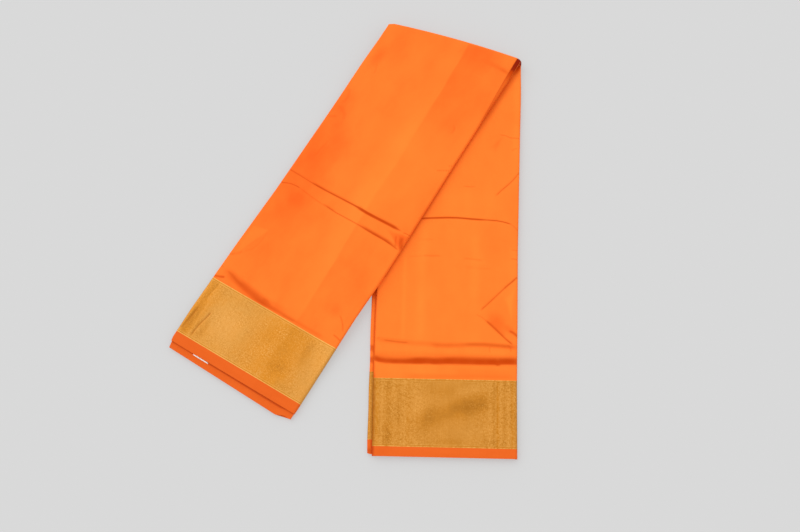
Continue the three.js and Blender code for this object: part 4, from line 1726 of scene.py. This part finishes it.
@dataclass
class PressedPlies:
    """All the plies between the top ones, with nested folds along their left sides."""

    finishes: Finishes
    clearance: float = 0.55
    cover: float = 1.25
    slit: float = 9.0
    station_step: float = 4.0
    cap_back: float = 1.3
    cap_front: float = 1.0
    step_depth: float = 3.45
    outer_ply_shift: float = 8.5
    wander: float = 0.35
    fold_points: int = 6
    fold_turn: float = math.radians(82.0)
    fold_reach: float = 1.6
    # spacing of the section's points: start and number on the flat faces, turn and number at the right
    flat_from: float = 14.0
    flat_points: int = 46
    side_turn: float = math.radians(80.0)
    side_points: int = 9
    hair: float = 0.06
    step_rings: int = 7
    fold_rings: int = 12
    past_fold: float = -400.0
    # distances from the fold where the lower side is still covered, is bared, and runs on
    covered_at: float = 2.0
    bared_at: tuple[float, ...] = (2.3, 2.7)
    open_from: float = 3.0
    # how much weaker the painted shade and the tone's painted light and shade are on the hidden plies
    quieter_shade: float = 0.4
    quieter_tone: float = 0.5
    # folds on the inner bundle's left side: depth from, depth to, set back
    inner_folds: tuple = ((4.05, 4.5, 1.1), (4.5, 5.0, 0.3), (5.0, 6.0, 1.0), (6.0, 8.0, 0.0))
    ledge: tuple = (7.0, 6.0, 5.0, 4.0, 2.8)
    # painted shade along the ledge where the plies below show: strength and half width
    ledge_shade: float = 0.55
    ledge_line: float = 3.4
    # painted shade spots on the ledge: distance from the fold, half length and strength
    ledge_spots: tuple = ((478.0, 7.0, 0.62), (494.0, 6.5, 0.7), (400.0, 15.0, 0.62), (614.0, 6.0, 0.4))
    # painted shade of the fold's pocket on the strip that the drawn-in top ply leaves bare: distance from the
    # fold and strength
    bare_shade: tuple = ((0.0, 1.0), (12.0, 0.96), (30.0, 0.42), (75.0, 0.4), (110.0, 0.2), (130.0, 0.0))
    bare_reach: float = 11.0
    bare_depth: float = 2.0
    under_reach: float = 2.0
    flat: tuple[float, float] = (0.2, 1.18)

    def _fold_profile(self, low: float, high: float, left: float) -> list[tuple[float, float]]:
        """One nested fold's rounded profile, from its low depth to its high one.

        Args:
            low: depth where it starts.
            high: depth where it ends.
            left: where its left side lies.

        Returns:
            Distances across and depths of its points.
        """
        turns = np.linspace(-self.fold_turn, self.fold_turn, self.fold_points)
        middle, half = (low + high) / 2.0, (high - low) / 2.0
        reach = min(self.fold_reach, half * 1.3)
        return [(left + reach * (1.0 - math.cos(t)), middle + half * math.sin(t)) for t in turns]

    def _ring(self, outer: float, inner: float, sway: tuple[float, ...]) -> tuple[np.ndarray, np.ndarray]:
        """The closed section of the hidden plies.

        Args:
            outer: depth of the outer face below the strip's outermost ply.
            inner: depth of the inner face below the innermost one.
            sway: how far each nested fold wanders here.

        Returns:
            Distances across and depths through the strip.
        """
        hub = FORM.width - FORM.right_round
        columns = np.linspace(self.flat_from, hub, self.flat_points)
        points = [(u, outer) for u in columns]
        turns = np.linspace(self.side_turn, -self.side_turn, self.side_points)
        reach = FORM.right_round - self.clearance
        for t in turns:
            h = FORM.stack / 2.0 - (FORM.stack / 2.0 - self.clearance * 0.9) * math.sin(t)
            points.append((hub + reach * math.cos(t), min(max(h, outer), FORM.stack - inner)))
        points += [(u, FORM.stack - inner) for u in columns[::-1]]
        top = FORM.stack - inner
        folds = []
        for (low, high, back), shift in zip(self.inner_folds, sway[1:]):
            clad = self.clearance if (high >= FORM.stack and inner > 0.0) else 0.0
            left = FORM.bundle_step + back + shift * (clad == 0.0) + clad
            folds.append(self._fold_profile(low + self.hair, min(high - self.hair, top), left))
        for profile in folds[::-1]:
            points += profile[::-1]
        points.append((self.slit, FORM.bundle))
        points += [(u, FORM.bundle - 0.04) for u in self.ledge]
        clad = self.clearance if outer > 0.0 else 0.0
        high = FORM.bundle - self.hair - clad * 0.4
        points += self._fold_profile(max(outer, 0.04), high, clad + sway[0] * (clad == 0.0))[::-1]
        table = np.array(points)
        return table[:, 0], table[:, 1]

    def _sways(self, at: float) -> tuple[float, ...]:
        """How far each nested fold wanders at a distance along the whole strip.

        Args:
            at: the distance.

        Returns:
            One distance for each fold, the outer bundle's first.
        """
        sways = []
        for i in range(len(self.inner_folds) + 1):
            slow, quick = math.sin(at / (31.0 + 9.0 * i) + 1.7 * i), math.sin(at / (11.0 + 3.0 * i) + i)
            sways.append(self.wander * (slow + 0.6 * quick))
        return tuple(sways)

    def _bared(self, u: np.ndarray) -> np.ndarray:
        """How far distances across lie in the strip that the drawn-in top ply leaves bare."""
        return smooth((1.0 - (FORM.width - u) / self.bare_reach) * 3.0)

    def _leg_ring(self, leg: Leg, v: float, outer: float, inner: float, square: float = 0.0) -> Patch:
        """One ring of the body on a leg.

        Args:
            leg: the leg.
            v: its distance from the fold.
            outer: depth of its outer face.
            inner: depth of its inner face.
            square: how squarely the plies lie past the upper end.

        Returns:
            The ring as a grid of one row.
        """
        u, h = self._ring(outer, inner, self._sways(v if leg is Leg.UPPER else -v - 40.0))
        depth = h if leg is Leg.UPPER else FORM.stack - h
        shift = self.outer_ply_shift * (h < FORM.bundle) if leg is Leg.LOWER else 0.0
        us, vs = u[None, :], np.full((1, len(u)), v)
        patch = cloth_patch(leg, us, vs, depth[None, :], us, square)
        patch.strip[..., 1] += shift
        patch.dark = patch.dark * self.quieter_shade
        patch.tone = patch.tone * self.quieter_tone
        # underside creases: relief and their painted shade
        rise, under = SOFT.underside(leg, us, vs)
        below = smooth((depth[None, :] - FORM.stack + self.under_reach) / self.under_reach)
        patch.points[..., 2] += rise * below * MM
        patch.dark = np.maximum(patch.dark, under * below)
        if leg is Leg.LOWER:
            # painted shade along the ledge where the plies below show beside the top ply
            seam = smooth(1.0 - np.abs(u - FORM.bundle_step - 0.4) / self.ledge_line) * (h < FORM.bundle)
            patch.dark = np.maximum(patch.dark, self.ledge_shade * seam[None, :])
            # painted shade spots along the ledge
            for at, half, painted_shade in self.ledge_spots:
                spot = painted_shade * smooth(1.0 - abs(v - at) / half) * (h < FORM.bundle)
                patch.dark = np.maximum(patch.dark, spot[None, :])
        else:
            # painted shade of the fold's pocket on the strip the drawn-in top ply leaves bare
            stations, painted_shades = zip(*self.bare_shade)
            near = float(np.interp(v, stations, painted_shades)) * self._bared(u) * smooth(2.0 - h / self.bare_depth)
            patch.dark = np.maximum(patch.dark, near[None, :])
        return patch

    def build(self) -> bpy.types.Object:
        """Returns:
            The body's object.
        """
        c, up, low = self.cover, FORM.upper, FORM.lower
        stepped = np.linspace(up.layers - self.cap_back, up.end - self.cap_front, self.step_rings)
        rings = [self._leg_ring(UP, v, self.step_depth, 0.0, 1.0) for v in stepped[:-1]]
        rings.append(self._leg_ring(UP, stepped[-1], self.step_depth, 0.0))
        for v in np.linspace(up.end - self.cap_back, 0.0, round(up.end / self.station_step)):
            rings.append(self._leg_ring(UP, v, c, 0.0))
        for angle in np.linspace(math.pi, 0.0, self.fold_rings)[1:]:
            u, h = self._ring(c, 0.0, self._sways(0.0))
            points = FORM.round_fold(u, np.full(u.shape, angle), h)[None, :]
            strip = np.stack([u, np.full(u.shape, self.past_fold), h], axis=-1)[None, :]
            # round the fold the bared strip carries the pocket's painted shade
            rings.append(Patch(points, strip, self._bared(u)[None, :], np.zeros((1, len(u)))))
        rings.append(self._leg_ring(LOW, self.covered_at, c, 0.0))
        rings += [self._leg_ring(LOW, v, 0.0, 0.0) for v in self.bared_at]
        stations = round(low.layers / self.station_step)
        for v in np.linspace(self.open_from, low.layers - self.cap_back, stations):
            rings.append(self._leg_ring(LOW, v, 0.0, c))
        patch = join_patches(rings)
        rows, columns = patch.dark.shape
        faces = grid_faces(rows, columns, closed=True)
        if patch.normals()[rows // 5, 20, 2] < 0.0:
            faces = [f[::-1] for f in faces]
        for row, outer, inner in ((0, self.step_depth, 0.0), (rows - 1, 0.0, c)):
            u, h = self._ring(outer, inner, self._sways(0.0))
            flat = [Vector((a, b, 0.0)) for a, b in zip(u, h)]
            first = row * columns
            faces += [tuple(first + i for i in t) for t in tessellate_polygon([flat])]
        piece = make_object("hidden_layers_plies", patch.points, faces, patch.attributes(1))
        recalculate_outward(piece.data)
        piece.data.materials.append(self.finishes.plies())
        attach(piece, ROOT)
        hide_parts("hidden_layers")
        return piece


def recalculate_outward(mesh: bpy.types.Mesh) -> None:
    """Turns every face of a closed body outwards.

    Args:
        mesh: the body's mesh, changed in place.
    """
    work = bmesh.new()
    work.from_mesh(mesh)
    bmesh.ops.recalc_face_normals(work, faces=work.faces)
    work.to_mesh(mesh)
    work.free()


@dataclass
class PlyEnds:
    """The plies' cut ends past one end of a leg, as a stack of thin leaves."""

    name: str
    leg: Leg
    finishes: Finishes
    end: float
    top: float
    bottom: float
    count: int
    left: float = 0.0
    reach: float = 6.0
    square: float = 0.0
    recede: float = 1.1
    shift: float = 0.0
    shadow_from: float = 0.0
    shadow_run: float = 1.3
    shadow_ink: float = 0.42
    leaf: float = 0.22
    left_gap: float = 0.9
    right_gap: float = 1.0
    across: int = 90
    rows: int = 19
    # the leaves' left corners are rounded back over a run by a depth
    corner_run: float = 5.0
    corner_back: float = 0.8
    seed: int = 3

    def _leaf(self) -> bpy.types.Object:
        """The first leaf: a thin shell across the strip, with the way out stored on it.

        Returns:
            The leaf's object.
        """
        us = np.linspace(self.left + self.left_gap, FORM.width - self.right_gap, self.across)
        vs = np.linspace(self.end - self.reach, self.end, self.rows)
        u, v = as_rows(len(vs), us)[0], as_columns(len(us), vs)
        v = v - (1.0 - smooth((u - self.left) / self.corner_run)) * self.corner_back
        depth = np.full(u.shape, self.top)
        square = self.square * smooth((v - self.end + self.reach) / (self.reach * 0.6))
        patch = cloth_patch(self.leg, u, v, depth, u, square, self.shift)
        further = cloth_patch(self.leg, u, v + 1.0, depth, u, square, self.shift)
        if self.shadow_from > 0.0:
            patch.dark = self.shadow_ink * smooth(1.0 - (v - self.shadow_from) / self.shadow_run)
        out = (further.points - patch.points) / MM
        out[..., 2] = 0.0
        share = (v - v.min()) / (v.max() - v.min())
        if patch.normals()[self.rows // 2, self.across // 2, 2] < 0.0:
            patch = patch.turned()
            out, share = out[::-1], share[::-1]
        piece = patch.shell(self.name, self.leaf)
        layer = piece.data.attributes.new("outward", "FLOAT_VECTOR", "POINT")
        outward = np.tile((out * share[..., None]).reshape(-1, 3), (2, 1))
        layer.data.foreach_set("vector", outward.astype(np.float32).ravel())
        return piece

    def build(self) -> bpy.types.Object:
        """Repeats the leaf down through the stack and returns the plain mesh.

        Returns:
            The stack's object.
        """
        piece = self._leaf()
        pitch = (self.bottom - self.top) / max(1, self.count - 1)
        sizes = {
            "Leaves": ("NodeSocketInt", self.count),
            "Pitch": ("NodeSocketFloat", pitch * MM),
            "Recede": ("NodeSocketFloat", self.recede * MM),
            "Finish": ("NodeSocketMaterial", self.finishes.plies()),
        }
        tree = leaf_stack_tree(self.seed, list(sizes.items()))
        result = run_tree(piece, tree, {label: value for label, (_, value) in sizes.items()})
        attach(result, ROOT)
        return result


def new_geometry_tree(name: str, inputs: list) -> tuple[bpy.types.NodeTree, Graph, bpy.types.Node]:
    """An empty Geometry Nodes tree with named inputs.

    Args:
        name: the tree's name.
        inputs: pairs of a label and its socket type with a value.

    Returns:
        The tree, its graph and its Group Input node.
    """
    tree = bpy.data.node_groups.new(name, "GeometryNodeTree")
    graph = Graph(tree)
    tree.interface.new_socket("Geometry", in_out="INPUT", socket_type="NodeSocketGeometry")
    for label, (kind, _) in inputs:
        tree.interface.new_socket(label, in_out="INPUT", socket_type=kind)
    tree.interface.new_socket("Geometry", in_out="OUTPUT", socket_type="NodeSocketGeometry")
    return tree, graph, tree.nodes.new("NodeGroupInput")


def leaf_stack_tree(
    seed: int, inputs: list, stretch: float = 0.018, apart: float = 7.3, most_out: float = 0.25
) -> bpy.types.NodeTree:
    """Repeats a leaf downwards, each copy drawn back unevenly along its outward way.

    Args:
        seed: fixes the unevenness.
        inputs: the tree's named inputs.
        stretch: scale of the unevenness across a leaf.
        apart: how far apart in the noise neighbouring leaves lie.
        most_out: the noise value at which a leaf isn't drawn back.

    Returns:
        The tree.
    """
    tree, graph, entry = new_geometry_tree("leaf_stack", inputs)

    def given(label: str) -> Value:
        """One of the tree's inputs."""
        return Value(graph, entry.outputs[label])

    step = graph.spot(0.0, 0.0, -given("Pitch"))
    line = graph.node(
        "GeometryNodeMeshLine",
        {"mode": "OFFSET"},
        {"Count": given("Leaves"), "Offset": step},
    )
    copies = graph.node("GeometryNodeInstanceOnPoints", None, {"Points": line, "Instance": given("Geometry")})
    order = graph.node("GeometryNodeInputIndex")
    stored = graph.node(
        "GeometryNodeStoreNamedAttribute",
        {"data_type": "FLOAT", "domain": "INSTANCE"},
        {"Geometry": copies, "Name": "leaf_order", "Value": order},
    )
    real = graph.node("GeometryNodeRealizeInstances", None, {"Geometry": stored})
    order = graph.node("GeometryNodeInputNamedAttribute", {"data_type": "FLOAT"}, {"Name": "leaf_order"})
    outward = graph.node(
        "GeometryNodeInputNamedAttribute", {"data_type": "FLOAT_VECTOR"}, {"Name": "outward"}
    )
    strip = graph.node("GeometryNodeInputNamedAttribute", {"data_type": "FLOAT_VECTOR"}, {"Name": "strip"})
    across = graph.node("ShaderNodeSeparateXYZ", None, {0: strip})
    spread = graph.spot(across * stretch, order * apart + float(seed))
    uneven = graph.noise(spread, 1.0, 2.0, 0.5)
    back = (uneven - most_out) * order.least(1.0) * given("Recede") * -2.0
    moved = graph.node("ShaderNodeVectorMath", {"operation": "SCALE"}, {0: outward, "Scale": back})
    placed = graph.node("GeometryNodeSetPosition", None, {"Geometry": real, "Offset": moved})
    finished = graph.node("GeometryNodeSetMaterial", None, {"Geometry": placed, "Material": given("Finish")})
    graph.node("NodeGroupOutput", None, {0: finished})
    return tree


def run_tree(piece: bpy.types.Object, tree: bpy.types.NodeTree, values: dict) -> bpy.types.Object:
    """Applies a tree to an object and returns the result as a plain mesh object.

    Args:
        piece: the object that the tree reads, which is removed.
        tree: the Geometry Nodes tree.
        values: its inputs by label.

    Returns:
        A new object of the same name.
    """
    modifier = piece.modifiers.new("build", "NODES")
    modifier.node_group = tree
    for item in tree.interface.items_tree:
        if item.item_type == "SOCKET" and item.in_out == "INPUT" and item.name in values:
            modifier[item.identifier] = values[item.name]
    graph = bpy.context.evaluated_depsgraph_get()
    mesh = bpy.data.meshes.new_from_object(piece.evaluated_get(graph), depsgraph=graph)
    name = piece.name
    bpy.data.objects.remove(piece)
    made = bpy.data.objects.new(name, mesh)
    mesh.name = name
    bpy.context.scene.collection.objects.link(made)
    return made


@dataclass
class TackStitch:
    """A short doubled white thread that tacks the plies together at the upper leg's end."""

    finishes: Finishes
    start: float = 35.5
    stop: float = 59.5
    away: float = 550.9
    depth: float = 2.35
    strands: int = 2
    turns: float = 5.5
    twist: float = 0.5
    thread: float = 0.52
    sink: float = 1.4
    sink_run: float = 0.06
    square: float = 0.5
    steps: int = 96
    sides: int = 10

    def build(self) -> bpy.types.Object:
        """Twists the strands, gives them their thickness and returns the plain mesh.

        Returns:
            The thread's object.
        """
        t = np.linspace(0.0, 1.0, self.steps)
        points, edges = [], []
        for strand in range(self.strands):
            phase = 2.0 * math.pi * (self.turns * t + strand / self.strands)
            u = self.start + (self.stop - self.start) * t
            ends = np.minimum(t, 1.0 - t) / self.sink_run
            depth = self.depth + self.sink * (1.0 - smooth(ends)) + self.twist * np.sin(phase)
            v = self.away + self.twist * np.cos(phase)
            first = len(points)
            points += FORM.on_leg(UP, u, v, depth, np.zeros(u.shape), self.square).tolist()
            edges += [(first + i, first + i + 1) for i in range(self.steps - 1)]
        mesh = bpy.data.meshes.new("tack_thread")
        mesh.from_pydata(points, edges, [])
        piece = bpy.data.objects.new("tack_thread", mesh)
        bpy.context.scene.collection.objects.link(piece)
        material = self.finishes.of("cotton", CottonThread())
        sizes = {
            "Radius": ("NodeSocketFloat", self.thread * MM),
            "Finish": ("NodeSocketMaterial", material),
        }
        tree, graph, entry = new_geometry_tree("thread_along_path", list(sizes.items()))
        curve = graph.node("GeometryNodeMeshToCurve", None, {0: Value(graph, entry.outputs["Geometry"])})
        ring = graph.node(
            "GeometryNodeCurvePrimitiveCircle",
            {"mode": "RADIUS"},
            {"Resolution": self.sides, "Radius": Value(graph, entry.outputs["Radius"])},
        )
        tube = graph.node(
            "GeometryNodeCurveToMesh", None, {"Curve": curve, "Profile Curve": ring, "Fill Caps": True}
        )
        real = graph.node("GeometryNodeRealizeInstances", None, {0: tube})
        values = {"Geometry": real, "Material": Value(graph, entry.outputs["Finish"])}
        graph.node("NodeGroupOutput", None, {0: graph.node("GeometryNodeSetMaterial", None, values)})
        made = run_tree(piece, tree, {label: value for label, (_, value) in sizes.items()})
        made.data.shade_smooth()
        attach(made, ROOT)
        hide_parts("tack_stitch")
        return made


@dataclass
class Studio:
    """A plain pale floor, soft light from the upper left, and the camera."""

    finishes: Finishes
    look_at: tuple[float, float] = (66.96, -52.90)
    distance: float = 1235.0
    tilt: float = math.radians(15.0)
    lens: float = 40.31
    sensor: float = 36.0
    floor_half: float = 40.0
    floor_drop: float = 0.3
    sky: float = 1.0
    key_strength: float = 1.05
    key_spread: float = math.radians(55.0)
    key_from: tuple[float, float, float] = (-0.75, 0.65, 1.0)

    def _floor(self) -> None:
        """Lays the floor just under the cloth."""
        h = self.floor_half
        z = -self.floor_drop * MM
        corners = np.array([(-h, -h, z), (h, -h, z), (h, h, z), (-h, h, z)])
        floor = make_object("floor", corners, [(0, 1, 2, 3)], {})
        floor.data.materials.append(self.finishes.of("floor", PaleFloor()))

    def _light(self) -> None:
        """Hangs one broad even light, from the upper left as the camera sees it."""
        lamp = bpy.data.lights.new("key", "SUN")
        lamp.angle = self.key_spread
        lamp.energy = self.key_strength
        hung = bpy.data.objects.new("key", lamp)
        hung.location = self.key_from
        hung.rotation_euler = (-Vector(self.key_from)).to_track_quat("-Z", "Y").to_euler()
        bpy.context.scene.collection.objects.link(hung)

    def _camera(self) -> None:
        """Places the camera at the photograph's angle."""
        camera = bpy.data.cameras.new("camera")
        camera.sensor_width = self.sensor
        camera.lens = self.lens
        seat = bpy.data.objects.new("camera", camera)
        x, y = self.look_at
        back, up = self.distance * math.sin(self.tilt), self.distance * math.cos(self.tilt)
        seat.location = (x * MM, (y - back) * MM, up * MM)
        seat.rotation_euler = (self.tilt, 0.0, 0.0)
        bpy.context.scene.collection.objects.link(seat)
        bpy.context.scene.camera = seat

    def build(self) -> None:
        """Sets up the whole studio."""
        scene = bpy.context.scene
        scene.view_settings.view_transform = "Standard"
        world = bpy.data.worlds.new("studio")
        world.use_nodes = True
        graph = Graph(world.node_tree)
        sky = graph.node("ShaderNodeBackground", None, {0: rgb(1.0, 1.0, 1.0), 1: self.sky})
        seen = graph.node("ShaderNodeBackground", None, {0: PaleFloor.glow})
        direct = graph.node("ShaderNodeLightPath")
        both = graph.node("ShaderNodeMixShader", None, {0: direct, 1: sky, 2: seen})
        graph.node("ShaderNodeOutputWorld", None, {0: both})
        scene.world = world
        self._camera()
        self._floor()
        self._light()


def main() -> None:
    """Builds every class in order and reports the hidden plies, each top-ply piece and the tack."""
    logging.basicConfig(level=logging.INFO, format="%(message)s")
    finishes = Finishes()
    Studio(finishes).build()
    plies = PressedPlies(finishes)
    stack = plies.build()
    LOG.info("hidden plies: %s, %d faces", stack.name, len(stack.data.polygons))
    up, low = FORM.upper, FORM.lower
    ends = (
        PlyEnds("upper_ends_near", UP, finishes, end=up.end - 0.6, top=0.6, bottom=3.0, count=6),
        PlyEnds("upper_ends_far", UP, finishes, end=up.layers - 1.2, top=3.25, bottom=7.58, count=10,
                reach=12.0, square=1.0, recede=1.3, shadow_from=up.end),
        PlyEnds("lower_ends_inner", LOW, finishes, end=low.layers, left=FORM.bundle_step, top=0.6,
                bottom=3.8, count=7),
        PlyEnds("lower_ends_outer", LOW, finishes, end=low.layers, top=4.1, bottom=7.75, count=8,
                reach=8.0, recede=2.2, shift=8.5),
    )
    for end in ends:
        end.build()
    for leg in Leg:
        for piece, node, flat in TopPly(leg, finishes).build():
            faces = len(piece.data.polygons)
            LOG.info("%s for %s, cut %.3f x %.3f m, %d faces", piece.name, node, *flat, faces)
    tack = TackStitch(finishes).build()
    LOG.info("tack: %s, %d faces", tack.name, len(tack.data.polygons))
    bpy.context.view_layer.update()


if __name__ == "__main__":
    main()
